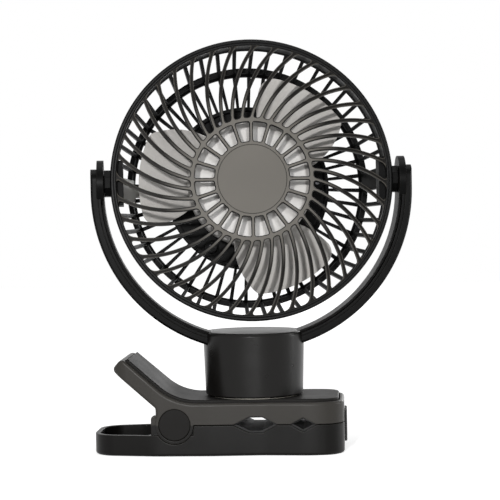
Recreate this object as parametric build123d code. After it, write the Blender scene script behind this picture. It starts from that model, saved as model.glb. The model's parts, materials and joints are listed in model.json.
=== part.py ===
from build123d import *
from math import acos, atan2, cos, degrees, hypot, pi, radians, sin, sqrt
import os

# A rechargeable clip fan: a round head in a U-shaped yoke, on a drum-shaped post that turns on a spring clip.
# Millimetres, +Z up. The origin lies under the post's axis, in the plane of the clip's flat bottom.
# X runs along the clip with its handle at -X, and the fan blows towards -Y.

# ------------------------------------------------------------------ driving dimensions
# Rest position
SWIVEL_AT_REST = 6.0        # turn of the post on the clip, degrees, anticlockwise from above
TILT_AT_REST = 5.0          # the head looks up by this, degrees

# General clearances and allowances
SNUG = 0.1                  # between pieces that are fastened to each other
RUN_FIT = 0.05              # radial play of a pin or shaft that turns
SCREW_PLAY = 0.2            # radial play of a screw in a hole that it only passes through
MOVE_GAP = 0.3              # between faces that pass each other
GROOVE = 0.6                # visible joint line between mouldings
BITE = 0.2                  # how far the features of one moulding reach into each other
CLEAR = 1.0                 # how far a cutter starts in front of the face that it cuts
FAR = 100.0                 # how far a cutter reaches past what it cuts

# Clip, seen from above
CLIP_RIGHT = 48.6
TRAY_LEFT, TRAY_HALF, TRAY_CORNER = -86.0, 20.5, 14.0
HANDLE_LEFT, HANDLE_HALF, HANDLE_CORNER = -75.6, 25.0, 9.0
SHOULDER_X, SHOULDER_HALF = -52.0, 27.0
BULGE_X, BULGE_HALF = -22.0, 27.8
WAIST_X, WAIST_HALF = 5.0, 26.2
MOUTH_X, MOUTH_HALF = 32.0, 28.8
END_HALF, END_CORNER = 25.0, 13.0
BLEND_R = 40.0

# Clip, seen from the front
SEAM_Z = 16.5               # plane where the jaws meet
JAW_GAP = 0.3               # from each moulding to the seam plane
UPPER_TALL = 11.7           # from the seam to the upper jaw's rim
TRAY_WALL_Z = 11.2
HANDLE_SLOPE = 41.0         # degrees
HANDLE_LONG = 37.1          # along the slope, from where it would meet the flat rim
HANDLE_THICK = 8.5
HANDLE_BEND_R = 31.0
HANDLE_BEND_X = -41.5       # where the flat rim and the handle's slope would meet
END_ROUND, TIP_ROUND, HEEL_ROUND = 3.0, 2.6, 2.0    # corners of the handle's end, and where it meets the jaw
RIM_ROUND = 1.5
CLIP_WALL, CLIP_FLOOR = 2.4, 2.6
FOOT_EDGE = 1.6             # rounding of the flat bottom's edge
JAW_END_WALL, CORE_ROOF = 6.0, 1.8      # round the hollow under the lower jaw's notches
TRAY_RIB, RIB_HALF = 1.2, 0.8           # height of the tray's ribs, and half the width of all the clip's ribs
TRAY_RIBS_X = (-77.0, -69.0, -61.0)
HANDLE_RIBS_X = (-63.0, -56.0)

# Hinge and spring
HINGE_X, HINGE_RISE = -41.5, 0.3        # the hinge's height is above the seam
CHEEK_R, CHEEK_THICK = 10.1, 3.0
EAR_THICK, EAR_BACK, EAR_FRONT, EAR_RISE = 3.0, 12.9, 13.1, 4.7     # from the hinge
EAR_CORNER = 2.0
PIN_R = 2.0
CAP_INSET, CAP_THICK, CAP_EDGE = 1.6, 1.3, 0.4
SLEEVE_WALL = 1.1
WIRE_R, WIRE_SIDES = 0.9, 8
COIL_PLAY = 0.25            # between the sleeve and the coil
COIL_HALF_TURNS = 7         # odd, so that the wire leaves at the side it came in
COIL_GAP, COIL_END_GAP = 0.8, 3.2       # between turns, and where the first and last half turn lead off
LEG_REACH, GRIP_REACH = 27.0, 25.0      # how far the spring's legs reach along the tray and along the handle
GRIP_RIB, GRIP_RIB_HALF = 1.0, 1.2      # rib under the handle that the spring presses on
SPRING_ROOM = 10.8          # half the width that the handle's ribs leave free for the spring

# Notches in the jaws' mouth: x of the corners and depth from the seam
LARGE_NOTCH = ((-10.9, 0.0), (-1.8, 4.4), (5.2, 4.4), (13.5, 0.0))
SMALL_NOTCH = ((19.5, 0.0), (26.8, 3.9), (34.3, 0.0))
PAD_LEFT, PAD_EDGE, PAD_THICK, PAD_PROUD = -24.0, 2.8, 2.0, 0.9
TONGUE_HALF, TONGUE_THICK, TONGUE_ROOT, TONGUE_EDGE = 10.0, 1.3, 8.0, 0.8
TONGUE_UP, TONGUE_DOWN = 5.6, 11.2      # how far each pad's tongue reaches from the seam

# Insert that covers the upper jaw and its handle
COVER_EDGE, COVER_DEPTH, COVER_PROUD = 2.2, 3.0, 1.6
COVER_ROUND = 0.8
COVER_LEDGE = 1.6           # width of the ledge that it lies on
DECK_DEEP = 5.2             # from the rim to the floor inside the upper jaw
HANDLE_WEB = 1.6            # wall under the insert

# Swivel
HUB_R = 8.0
HUB_FLANGE, HUB_FLAT = 3.0, 1.0         # how far the flange and its two flats stand out
KEY_THICK = 1.6
WASHER_OUT, WASHER_THICK = 3.5, 1.2     # how far the washer stands out from the hub
SWIVEL_SCREW_R, SWIVEL_HEAD_R, SWIVEL_HEAD_TALL, SWIVEL_SCREW_LONG = 2.0, 4.0, 2.4, 8.5
GLIDE_SET_IN, GLIDE_WIDE = 2.4, 5.0     # glide ring, from the post's edge

# Screws
SCREW_R, SCREW_HEAD_R, SCREW_HEAD_TALL = 1.25, 2.5, 1.4
HEAD_TAPER = 20.0           # how much a screw head narrows to its top, degrees

# Post
POST_LIFT, POST_TALL = 0.5, 34.4        # gap under the post and its height
POST_FOOT_R, POST_FLARE = 26.4, 1.0
POST_WALL, POST_FLOOR = 2.2, 2.4
POST_TOP_THICK, TOP_EDGE = 2.2, 0.4
FOOT_CORNER = 0.8
SHOULDER = ((0.0, 1.6), (0.5, 0.4), (1.1, 0.0))     # the rounded upper edge: set in and down from the corner
LEDGE_WIDE, LEDGE_TALL, LEDGE_SLOPE = 1.4, 1.2, 1.8     # ledge that carries the top plate
BATTERY, BATTERY_CORNER = (40.0, 22.0, 10.0), 3.0
BATTERY_RISE, BATTERY_RIB_X, BATTERY_RIB_HALF = 6.3, 16.5, 1.0      # the rise is above the post's floor
BOARD_WIDE, BOARD_THICK, BOARD_SHORT = 24.0, 1.6, 14.4      # it is this much lower than the post
BOARD_SET_IN, BOARD_RISE = 8.0, 3.3     # from the post's foot radius, and above its floor
RAIL_GRIP, RAIL_OUT, RAIL_FRONT, RAIL_BACK, RAIL_SHORT = 1.2, 2.0, 2.2, 1.4, 2.0
USB, USB_SHEET, USB_RISE = (9.0, 7.2, 3.3), 0.4, 8.3
USB_CORNER, USB_MOUTH_CORNER, USB_BACK = 1.4, 1.0, 1.2
USB_TONGUE_SET_IN, USB_TONGUE_HALF, USB_TONGUE_SHORT = 1.6, 0.35, 0.8
BUTTON_R, BUTTON_RISE, BUTTON_TRAVEL, BUTTON_PROUD, BUTTON_FLANGE, BUTTON_EDGE = 4.2, 16.8, 0.8, 1.2, 0.6, 0.6
SWITCH_HALF, SWITCH_DEEP, SWITCH_STEM, SWITCH_STEM_R = 3.0, 2.0, 0.5, 1.7
LIGHT_R, LIGHT_COUNT, LIGHT_PITCH, LIGHT_DROP = 0.9, 4, 3.2, 8.1    # the drop is below the post's top
YOKE_SINK = 10.6            # how deep the yoke's lowest point lies under the post's top
SADDLE_DEEP, SADDLE_GRIP, SADDLE_HALF = 3.7, 2.5, 8.0   # below and above the yoke's lowest point
YOKE_SCREW_X, YOKE_SCREW_RISE = 6.0, 5.3

# Yoke: a half circle whose centre lies below the pivot, with straight legs above it
YOKE_DROP = 5.0
HEAD_GAP = 3.5              # from the head's ring to the yoke
YOKE_DEEP, YOKE_SPLIT = 7.0, 3.2        # from the inner face to the outer one, and to the moulding joint
YOKE_OUT_HALF, YOKE_IN_HALF = 10.0, 8.6
YOKE_EDGE, YOKE_TOP_ROUND = 1.1, 6.0
YOKE_TOP, STRAP_TOP = 7.8, 2.0          # tops of the outer and the inner moulding above the pivot
STRAP_SKIN, STRAP_WEB, STRAP_WAIST, STRAP_FLANGE = 0.8, 1.7, 3.0, 0.9   # the inner moulding's I section
EAR_R, EAR_INSET, EAR_DEEP = 12.6, 0.1, 3.6
STUD_R = 4.0
PIVOT_WASHER_WIDE, PIVOT_WASHER_THICK, PIVOT_WASHER_GAP = 1.5, 0.8, 0.15
PIVOT_HEAD_R, PIVOT_HEAD_TALL, PIVOT_SCREW_LONG = 3.0, 1.2, 11.0
PIVOT_SKIN = 0.9            # what the outer moulding keeps over the pivot screw
PIVOT_BOSS_WALL = 3.0       # round the stud, to the flats of the head's octagonal boss

# Head, in its own frame: origin on the pivot axis, Y along the fan's axis with the outlet at -Y
RING_R = 76.0
RIM_FRONT_Y, RIM_BACK_Y = -10.6, -7.6
RIM_WIDTH, RIM_STEP = 3.3, 0.6          # width from the front, and how far it stands out from the wall
RIM_LIP, RIM_CORNER = 0.3, 0.7
RIM_GROOVE_AT, RIM_GROOVE_WIDE, RIM_GROOVE_DEEP = 1.2, 0.5, 0.6
FACE_Y, DOME_START_R, DOME_END_Y = -14.0, 32.0, -10.1      # flat as far as the inner ring, then dished
FACE_THICK = 3.0
DISC_R = 20.4
STEP_R, STEP_WIDE, STEP_DEEP = 18.3, 0.4, 0.35
INNER_RING_IN, INNER_RING_OUT = 30.8, 33.3
SPOKES, SPOKE_WIDTH = 20, 1.5
RIBS, RIB_WIDTH = 40, 1.5
RIB_ANGLES = (1.2, 10.6, 20.2)          # a rib's clockwise angles at the inner ring, midway and near the rim
RIB_START, RIB_MIDDLE, RIB_END = 0.7, 22.0, 3.7     # their radii: from the inner ring, then from the edge
WINDOW_ROUND = 0.9          # corners of the windows between the spokes
SPIGOT_DEEP = 2.0

WALL_THICK = 1.8
WALL_END_Y = 7.0
KNEE_STEP, KNEE_Y = 8.6, 39.5           # how far the wall leans in, and where it bends to the back
KNEE_BEVEL, KNEE_SLOPE, KNEE_LIFT = 2.4, 1.4, 2.0
BACK_Y, BACK_THICK = 42.0, 2.4
KNEE_RING = 3.6
PLATE_R = 46.0
REAR_RIBS, REAR_RIB_WIDTH, REAR_RIB_START = 48, 2.1, 2.0
SIDE_SLOT = (9.6, 36.2)
BESIDE_PIVOT = 4.0          # side windows this close to a pivot stay closed, degrees
LIP_SET_IN, LIP_WALL, LIP_TALL = 0.8, 1.6, 4.0      # ring round the motor plate, inside
BOSS_ANGLES, BOSS_SET_IN, BOSS_R = (87.0, 213.0, 338.0), 6.8, 3.6
BOSS_TALL = 5.5
PIVOT_BLOCK = (4.5, 13.0, 24.0)         # depth, length along the fan's axis and height

DOME_SET_IN, DOME_WALL = 2.5, 2.0       # rear cover, from the motor plate's edge
REAR_DOME = ((0.0, 0.0), (0.0, 5.0), (3.5, 9.4), (10.0, 11.0))      # its outline, set in and back
COVER_SCREW_SEAT, COVER_SCREW_LONG = 3.0, 9.5

WIRE_COVER_WIDE, WIRE_COVER_NARROW, WIRE_COVER_THICK = 12.5, 6.0, 1.8
WIRE_COVER_START, WIRE_COVER_LEAN = 2.0, 0.6        # behind the wall's bend, and how far in the wall is there
WIRE_COVER_KNEE, WIRE_COVER_MITRE = 1.0, 0.6        # from the knee ring, and its corner's move per gap
WIRE_ANGLE = 268.5

# Motor and impeller, in the head's frame
SHAFT_R = 1.5
HUB_FRONT_Y, HUB_BACK_Y = 2.0, 20.0
HUB_RIM_R, HUB_WALL = 34.3, 1.8
HUB_BEVEL = ((3.7, 0.0), (1.2, 1.4), (0.0, 4.0))    # the hub's rounded front edge: set in and back
SHAFT_SEAT, HUB_BOSS_R = 2.6, 5.0
BLADES, BLADE_THICK, BLADE_TIP_GAP = 3, 1.7, 5.8    # the gap is to the knee's radius
BLADE_LEAD, BLADE_TRAIL = 10.0, 77.0        # clockwise angles at the hub
BLADE_TIP_LEAD, BLADE_TIP_TRAIL = 9.0, 57.0
BLADE_LEAD_BULGE, BLADE_TRAIL_BULGE = 3.5, 1.5      # how far both edges bow out, degrees
BLADE_CORNERS = (8.0, 5.0)
BLADE_RISE, BLADE_CAMBER = 17.0, 0.05
BLADE_ROOT_R, BLADE_ROOT_HALF, BLADE_TIP_HALF = 24.0, 23.0, 42.0
BLADE_MID_Y = 11.5
CAN_R, CAN_FRONT_Y, CAN_BACK_Y, CAN_WALL = 15.0, 9.0, 25.0, 1.0
CAN_BOSS_R, CAN_BOSS_TALL = 3.2, 2.0
MAGNET_THICK, MAGNET_SHORT, AIR_GAP = 1.6, 2.0, 0.35
STATOR_TEETH, STATOR_RING = 9, 2.2
STATOR_FRONT_Y, STATOR_BACK_Y = 12.5, 21.5
TOOTH_WIDE, TOOTH_TIP_WIDE, TOOTH_TIP_DEEP = 1.8, 6.4, 1.0
COIL_HALF_WIDE, COIL_ROOM = 1.9, 1.3        # winding round a tooth, and what it leaves at both of its ends
COIL_OVERHANG = 0.9
TUBE_R, TUBE_BORE = 5.2, 4.0
TUBE_PROUD, SHAFT_SHORT = 1.0, 1.0          # how far the tube passes the stator, and the shaft stays inside
BEARING_WIDE, BEARING_GAP = 3.0, 0.02
BEARING_INSETS = (0.5, 1.5)                 # from the tube's front and from its back
MOTOR_FLANGE_R, MOTOR_FLANGE_THICK, MOTOR_FLARE = 20.0, 2.4, 2.6
MOTOR_SCREW_IN, MOTOR_SCREW_ANGLES, MOTOR_SEAT = 4.0, (30, 150, 270), 2.2

# ------------------------------------------------------------------ sizes that follow from them
RIM_Z = SEAM_Z + UPPER_TALL
DECK_Z = RIM_Z - DECK_DEEP
COVER_TOP_Z = RIM_Z + COVER_PROUD
COVER_UNDER_Z = RIM_Z - COVER_DEPTH + SNUG
HINGE_Z = SEAM_Z + HINGE_RISE
CORE_TOP_Z = SEAM_Z - LARGE_NOTCH[1][1] - (PAD_THICK - PAD_PROUD) - CORE_ROOF
SLOPE_SIN, SLOPE_COS = sin(radians(HANDLE_SLOPE)), cos(radians(HANDLE_SLOPE))
CHEEK_IN = SHOULDER_HALF - CHEEK_THICK          # inner face of the cheeks
EAR_OUT = CHEEK_IN - MOVE_GAP
EAR_IN = EAR_OUT - EAR_THICK
WELL_RIGHT = HINGE_X + EAR_FRONT + 2 * MOVE_GAP     # the spring well ends here and the solid jaw begins
CAP_R = CHEEK_R - CAP_INSET
SLEEVE_R = PIN_R + SLEEVE_WALL
COIL_R = SLEEVE_R + COIL_PLAY + WIRE_R
HUB_FLANGE_R = HUB_R + HUB_FLANGE

POST_FOOT_Z = COVER_TOP_Z + POST_LIFT
POST_TOP_Z = POST_FOOT_Z + POST_TALL
POST_TOP_R = POST_FOOT_R + POST_FLARE
POST_INSIDE_Z = POST_FOOT_Z + POST_FLOOR
HUB_TOP_Z = POST_INSIDE_Z + 2 * SNUG
BATTERY_Z = POST_INSIDE_Z + BATTERY_RISE
BOARD_Y, BOARD_Z = POST_FOOT_R - BOARD_SET_IN, POST_INSIDE_Z + BOARD_RISE
BOARD_BACK, BOARD_TALL = BOARD_Y + BOARD_THICK, POST_TALL - BOARD_SHORT
USB_Z, BUTTON_Z, LIGHT_Z = POST_INSIDE_Z + USB_RISE, POST_INSIDE_Z + BUTTON_RISE, POST_TOP_Z - LIGHT_DROP
YOKE_LOW_Z = POST_TOP_Z - YOKE_SINK             # the yoke's lowest point
SADDLE_Z, YOKE_SCREW_SEAT = YOKE_LOW_Z - SADDLE_DEEP, YOKE_LOW_Z + YOKE_SCREW_RISE

YOKE_IN_R = RING_R + HEAD_GAP
YOKE_OUT_R, YOKE_SPLIT_R = YOKE_IN_R + YOKE_DEEP, YOKE_IN_R + YOKE_SPLIT
YOKE_Z = YOKE_LOW_Z + YOKE_OUT_R                # centre of the yoke's half circle
PIVOT_Z = YOKE_Z + YOKE_DROP                    # the head's pivot axis
EAR_FACE_X = YOKE_IN_R + EAR_INSET              # inner face of the ear's disc
EAR_DISC_OUT = EAR_FACE_X + EAR_DEEP
PIVOT_WASHER_R = STUD_R + PIVOT_WASHER_WIDE
PIVOT_SEAT_X = EAR_DISC_OUT + PIVOT_WASHER_GAP + PIVOT_WASHER_THICK

RIB_RADII = (INNER_RING_OUT + RIB_START, RING_R - RIB_MIDDLE, RING_R - RIB_END)
WALL_OUT_R = RING_R - RIM_STEP
BOWL_R = WALL_OUT_R - WALL_THICK                # inner radius of the rear grille's wall
KNEE_R = WALL_OUT_R - KNEE_STEP
BACK_IN_Y = BACK_Y - BACK_THICK                 # front face of its flat back
LIP_R = PLATE_R - LIP_SET_IN
BOSS_PITCH_R = PLATE_R - BOSS_SET_IN
BLADE_TIP_R = KNEE_R - BLADE_TIP_GAP
STATOR_R = CAN_R - CAN_WALL - SNUG / 2 - MAGNET_THICK - AIR_GAP
MOTOR_SEAT_Y = BACK_IN_Y - MOTOR_SEAT           # where the motor's screw heads sit


# ------------------------------------------------------------------ small helpers
def rod(radius, start, end):
    """A straight round bar between two points."""
    along = Vector(*end) - Vector(*start)
    return extrude(Plane(origin=start, z_dir=along) * Circle(radius), along.length)


def block(x0, x1, y0, y1, z0, z1):
    """A box between opposite corners."""
    return Pos((x0 + x1) / 2, (y0 + y1) / 2, (z0 + z1) / 2) * Box(x1 - x0, y1 - y0, z1 - z0)


def upright(radius, x, z0, z1):
    """A round bar along Z in the plane y = 0."""
    return rod(radius, (x, 0, z0), (x, 0, z1))


def along_y(radius, x, z, y0, y1):
    """A round bar along Y."""
    return rod(radius, (x, y0, z), (x, y1, z))


def turned_y(points):
    """A body of revolution about Y from (radius, y) points."""
    return revolve(make_face(Polyline(*points, close=True)), Axis.Y, 360)


def turned_z(points):
    """A body of revolution about Z from (radius, z) points."""
    return revolve(Plane.XZ * make_face(Polyline(*points, close=True)), Axis.Z, 360)


def across(face, half):
    """An XZ face pulled to both sides of the XZ plane."""
    return extrude(face, half, both=True)


def front_and_back(solid):
    """The solid and its mirror image on the other side of the XZ plane."""
    return [solid, mirror(solid, Plane.XZ)]


def left_and_right(solid):
    """The solid and its mirror image on the other side of the YZ plane."""
    return [solid, mirror(solid, Plane.YZ)]


def polar(radius, clockwise):
    """x and z of a point on the head, with the angle clockwise from the top as seen from the front."""
    return radius * sin(radians(clockwise)), radius * cos(radians(clockwise))


def spun(shape, clockwise):
    """A copy turned about the fan's axis, clockwise as seen from the front."""
    return Rot(0, clockwise, 0) * shape


def pan_screw(head_r, head_tall, shank_r, length, at, towards):
    """A screw whose domed head sits on the point at, its shank pointing towards."""
    seat, aim = Vector(*at), Vector(*towards)
    head = extrude(Plane(origin=at, z_dir=aim * -1) * Circle(head_r), head_tall, taper=HEAD_TAPER)
    return head + rod(shank_r, at, tuple(seat + aim * length))


def rounded_top(solid, radius):
    """The solid with the edges rounded where its upward faces meet its walls."""
    tops = [face for face in solid.faces() if face.normal_at(face.center()).Z > 0.3]
    edges = [edge for face in tops for edge in face.edges()]
    return fillet([edge for edge in edges if sum(edge.is_same(other) for other in edges) == 1], radius)


# ------------------------------------------------------------------ the clip's outlines
def clip_plan(left, half, corner, inset=0.0):
    """The hourglass outline of the clip from above, drawn in by inset."""
    side = [(left, half), (SHOULDER_X, SHOULDER_HALF), (BULGE_X, BULGE_HALF), (WAIST_X, WAIST_HALF),
            (MOUTH_X, MOUTH_HALF), (CLIP_RIGHT, END_HALF)]
    points = side + [(x, -y) for x, y in reversed(side)]
    rounds = [corner] + [BLEND_R] * 4 + [END_CORNER]
    outline = make_face(FilletPolyline(*points, radius=rounds + rounds[::-1], close=True))
    return offset(outline, -inset) if inset else outline


def tray_plan(inset=0.0):
    return clip_plan(TRAY_LEFT, TRAY_HALF, TRAY_CORNER, inset)


def handle_plan(inset=0.0):
    return clip_plan(HANDLE_LEFT, HANDLE_HALF, HANDLE_CORNER, inset)


def slope_point(x, depth):
    """The point with this x at a depth under the slope's upper face."""
    return x, RIM_Z - (depth - (HANDLE_BEND_X - x) * SLOPE_SIN) / SLOPE_COS


def along_slope(distance, depth=0.0):
    """The point at a distance up the handle from its bend, at a depth under the slope's upper face."""
    x, z = HANDLE_BEND_X - distance * SLOPE_COS, RIM_Z + distance * SLOPE_SIN
    return x - depth * SLOPE_SIN, z - depth * SLOPE_COS


def past_end(inset):
    """Everything beyond the handle's end face, drawn in by inset."""
    x, z = along_slope(HANDLE_LONG - inset)
    return Pos(x, 0, z) * Rot(0, HANDLE_SLOPE, 0) * block(-FAR, 0, -FAR, FAR, -FAR, FAR)


def top_line(depth, left, right):
    """The upper line of the jaw and its handle at a depth below its rim, from left to right."""
    level = RIM_Z - depth
    bend_x = HANDLE_BEND_X - (depth - depth * SLOPE_COS) / SLOPE_SIN
    return [slope_point(left, depth), (bend_x, level), (right, level)]


def band(shallow, deep):
    """What lies between two depths below the rim line, over the clip's whole length and width."""
    left, right = HANDLE_LEFT - FAR, CLIP_RIGHT + FAR
    upper = FilletPolyline(*top_line(shallow, left, right), radius=HANDLE_BEND_R + shallow)
    lower = FilletPolyline(*top_line(deep, left, right), radius=HANDLE_BEND_R + deep)
    ends = [Line(upper @ 0, lower @ 0), Line(upper @ 1, lower @ 1)]
    return across(Plane.XZ * make_face([upper, lower] + ends), FAR)


def notches(grow, side):
    """Cutters for both notches on one side (+1 above, -1 below) of the seam, grown by an amount."""
    half = Pos(0, side * FAR / 2) * Rectangle(2 * FAR, FAR)
    cutters = []
    for corners in (LARGE_NOTCH, SMALL_NOTCH):
        mirrored = [(x, -depth) for x, depth in reversed(corners[1:-1])]
        whole = make_face(Polyline(*corners, *mirrored, close=True))
        grown = offset(whole, grow, kind=Kind.INTERSECTION) if grow else whole
        cutters.append(across(Plane.XZ * (Pos(0, SEAM_Z) * (grown & half)), FAR))
    return cutters


def slab(side, start, end, left):
    """What lies between two distances from the seam, above it (+1) or below it (-1), right of an x."""
    z0, z1 = sorted((SEAM_Z + side * start, SEAM_Z + side * end))
    return block(left, FAR, -FAR, FAR, z0, z1)


def hinge_disc(radius, y0, y1):
    return along_y(radius, HINGE_X, HINGE_Z, y0, y1)


def clip_rib(x, z0, z1):
    """A rib right across the clip."""
    return block(x - RIB_HALF, x + RIB_HALF, -FAR, FAR, z0, z1)


# ------------------------------------------------------------------ clip
def lower_jaw():
    """The base: a tray under the handle, ears for the hinge, and a hollow front with half of each notch."""
    jaw = extrude(tray_plan(), SEAM_Z - JAW_GAP)
    jaw = fillet(jaw.edges().group_by(Axis.Z)[0], FOOT_EDGE)
    jaw -= block(TRAY_LEFT - CLEAR, HINGE_X + CHEEK_R, -FAR, FAR, TRAY_WALL_Z, FAR)
    hollow = extrude(Pos(0, 0, CLIP_FLOOR) * tray_plan(CLIP_WALL), FAR)
    jaw -= hollow & block(TRAY_LEFT, HINGE_X + CHEEK_R, -FAR, FAR, 0, FAR)
    jaw -= block(HINGE_X, CLIP_RIGHT - JAW_END_WALL, -EAR_IN, EAR_IN, CLIP_FLOOR, CORE_TOP_Z)
    jaw -= front_and_back(hinge_disc(CHEEK_R + MOVE_GAP, EAR_OUT, FAR))
    inside = extrude(tray_plan(CLIP_WALL - BITE), FAR)
    jaw += [clip_rib(x, CLIP_FLOOR - BITE, CLIP_FLOOR + TRAY_RIB) & inside for x in TRAY_RIBS_X]
    ear = block(HINGE_X - EAR_BACK, HINGE_X + EAR_FRONT, EAR_IN, EAR_OUT,
                CLIP_FLOOR - BITE, HINGE_Z + EAR_RISE)
    ear = fillet(ear.edges().filter_by(Axis.Y).group_by(Axis.Z)[-1], EAR_CORNER)
    jaw += front_and_back(ear)
    jaw -= hinge_disc(PIN_R + SNUG / 2, -FAR, FAR)
    return jaw - notches(0, -1) - pad_pocket(-1)


def pad_pocket(side):
    """What a jaw loses for its pad: a shallow sheet, the grown notches and the way out for the tongue."""
    cut = slab(side, -SNUG - JAW_GAP, PAD_THICK, PAD_LEFT) + notches(PAD_THICK - PAD_PROUD, side)
    zone = extrude(tray_plan(PAD_EDGE), FAR) & block(PAD_LEFT, FAR, -FAR, FAR, 0, FAR)
    tongue = block(CLIP_RIGHT - TONGUE_ROOT, FAR, -TONGUE_HALF, TONGUE_HALF, 0, FAR)
    return cut & (zone + tongue)


def jaw_pad(side, drop):
    """A rubber pad that lines one jaw (+1 upper, -1 lower) and wraps its end with a tongue."""
    sheet = slab(side, SNUG, PAD_THICK - SNUG, PAD_LEFT) + notches(PAD_THICK - PAD_PROUD - SNUG, side)
    sheet -= notches(-PAD_PROUD, side)
    sheet &= slab(side, SNUG, FAR, PAD_LEFT)
    half, out = TONGUE_HALF - SNUG, CLIP_RIGHT + SNUG + TONGUE_THICK
    zone = extrude(tray_plan(PAD_EDGE + SNUG), FAR)
    tongue = block(CLIP_RIGHT - TONGUE_ROOT, out, -half, half, 0, FAR)
    z0, z1 = sorted((SEAM_Z + side * SNUG, SEAM_Z + side * drop))
    wrap = block(CLIP_RIGHT + SNUG, out, -half, half, z0, z1)
    outer = wrap.edges().filter_by(Axis.Y).group_by(Axis.X)[-1].sort_by(Axis.Z)
    wrap = fillet(outer[-1] if side > 0 else outer[0], TONGUE_EDGE)
    return (sheet & (zone + tongue)) + wrap


def lower_jaw_pad():
    return jaw_pad(-1, TONGUE_DOWN)


def upper_jaw_pad():
    return jaw_pad(1, TONGUE_UP)


def upper_jaw_profile():
    """The front view of the upper jaw and its handle."""
    heel_x, right, seam = HINGE_X - CHEEK_R, CLIP_RIGHT + CLEAR, SEAM_Z + JAW_GAP
    heel = slope_point(heel_x, HANDLE_THICK)
    end, tip = along_slope(HANDLE_LONG), along_slope(HANDLE_LONG, HANDLE_THICK)
    upper = FilletPolyline((right, RIM_Z), (HANDLE_BEND_X, RIM_Z), end, tip, heel, (heel_x, seam),
                           radius=[HANDLE_BEND_R, END_ROUND, TIP_ROUND, HEEL_ROUND])
    lower = Polyline((heel_x, seam), (right, seam), (right, RIM_Z))
    return Plane.XZ * make_face([upper, lower])


def upper_jaw():
    """The lever: a handle, round cheeks over the hinge, a flat deck for the post and half of each notch."""
    jaw = rounded_top(across(upper_jaw_profile(), FAR) & extrude(handle_plan(), FAR), RIM_ROUND)
    jaw += hinge_disc(CHEEK_R, -FAR, FAR) & extrude(handle_plan(), FAR)
    pocket = band(-HANDLE_BEND_R / 2, COVER_DEPTH) & extrude(handle_plan(COVER_EDGE), FAR)
    jaw -= pocket - past_end(COVER_EDGE)
    web = COVER_DEPTH + HANDLE_WEB
    well = block(-FAR, WELL_RIGHT, -CHEEK_IN, CHEEK_IN, -FAR, FAR)
    inside = extrude(handle_plan(CHEEK_THICK), FAR) - past_end(CHEEK_THICK)
    jaw -= band(web, FAR) & well & inside
    jaw -= hinge_disc(CHEEK_R + MOVE_GAP, -CHEEK_IN, CHEEK_IN) & well
    room = extrude(Pos(0, 0, DECK_Z) * handle_plan(COVER_EDGE + COVER_LEDGE), FAR)
    jaw -= room & block(WELL_RIGHT + CLIP_WALL, CLIP_RIGHT, -FAR, FAR, DECK_Z, RIM_Z)
    flat = HUB_R + HUB_FLAT + SNUG
    key = block(-HUB_FLANGE_R, HUB_FLANGE_R, flat, flat + KEY_THICK, DECK_Z - BITE, COVER_UNDER_Z - SNUG)
    jaw += front_and_back(key)
    for x in HANDLE_RIBS_X:
        rib = band(web - BITE, HANDLE_THICK - CLEAR) & clip_rib(x, 0, FAR)
        jaw += rib & front_and_back(block(-FAR, 0, SPRING_ROOM, CHEEK_IN - CLEAR, 0, FAR))
    grip_x, grip_y = HINGE_X - GRIP_REACH * SLOPE_COS, spring_width() / 2
    grip = block(grip_x - GRIP_RIB_HALF, grip_x + GRIP_RIB_HALF,
                 grip_y - 2 * WIRE_R, grip_y + 2 * WIRE_R, 0, FAR)
    jaw += band(web - BITE, web + GRIP_RIB) & grip
    jaw -= hinge_disc(PIN_R + RUN_FIT, -FAR, FAR)
    jaw -= front_and_back(hinge_disc(CAP_R + SNUG, SHOULDER_HALF - CAP_THICK, FAR))
    return jaw - notches(0, 1) - pad_pocket(1)


def top_cover():
    """The insert that closes the upper jaw and lines the handle, with the swivel's hole."""
    inset = COVER_EDGE + GROOVE
    cover = (band(-COVER_PROUD, COVER_DEPTH - SNUG) & extrude(handle_plan(inset), FAR)) - past_end(inset)
    return rounded_top(cover, COVER_ROUND) - upright(HUB_R + GROOVE, 0, 0, FAR)


# ------------------------------------------------------------------ hinge pin and spring
def hinge_pin():
    end = SHOULDER_HALF - CAP_THICK - SNUG
    return hinge_disc(PIN_R, -end, end)


def hinge_caps():
    cap = hinge_disc(CAP_R, SHOULDER_HALF - CAP_THICK + SNUG / 2, SHOULDER_HALF + SNUG)
    return front_and_back(chamfer(cap.edges().group_by(Axis.Y)[-1], CAP_EDGE))


def spring_sleeve():
    end = EAR_IN - SNUG
    return hinge_disc(SLEEVE_R, -end, end) - hinge_disc(PIN_R + RUN_FIT, -end, end)


def coil_climbs():
    """How far each half turn of the spring climbs along the pin: half of a wire's width and of the gap."""
    climb, end_climb = WIRE_R + COIL_GAP / 2, WIRE_R + COIL_END_GAP / 2
    return [end_climb] + [climb] * (COIL_HALF_TURNS - 2) + [end_climb]


def spring_width():
    """Distance between the spring's two legs along the pin."""
    return sum(coil_climbs())


def tangent_from(point, turn):
    """Where a line from a point touches the coil's circle, as an angle round the pin in the front view."""
    return atan2(point[1], point[0]) + turn * acos(COIL_R / hypot(*point))


def around_pin(radius, angle, y):
    """A point at a radius and an angle round the hinge pin."""
    return HINGE_X + radius * cos(angle), y, HINGE_Z + radius * sin(angle)


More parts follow.
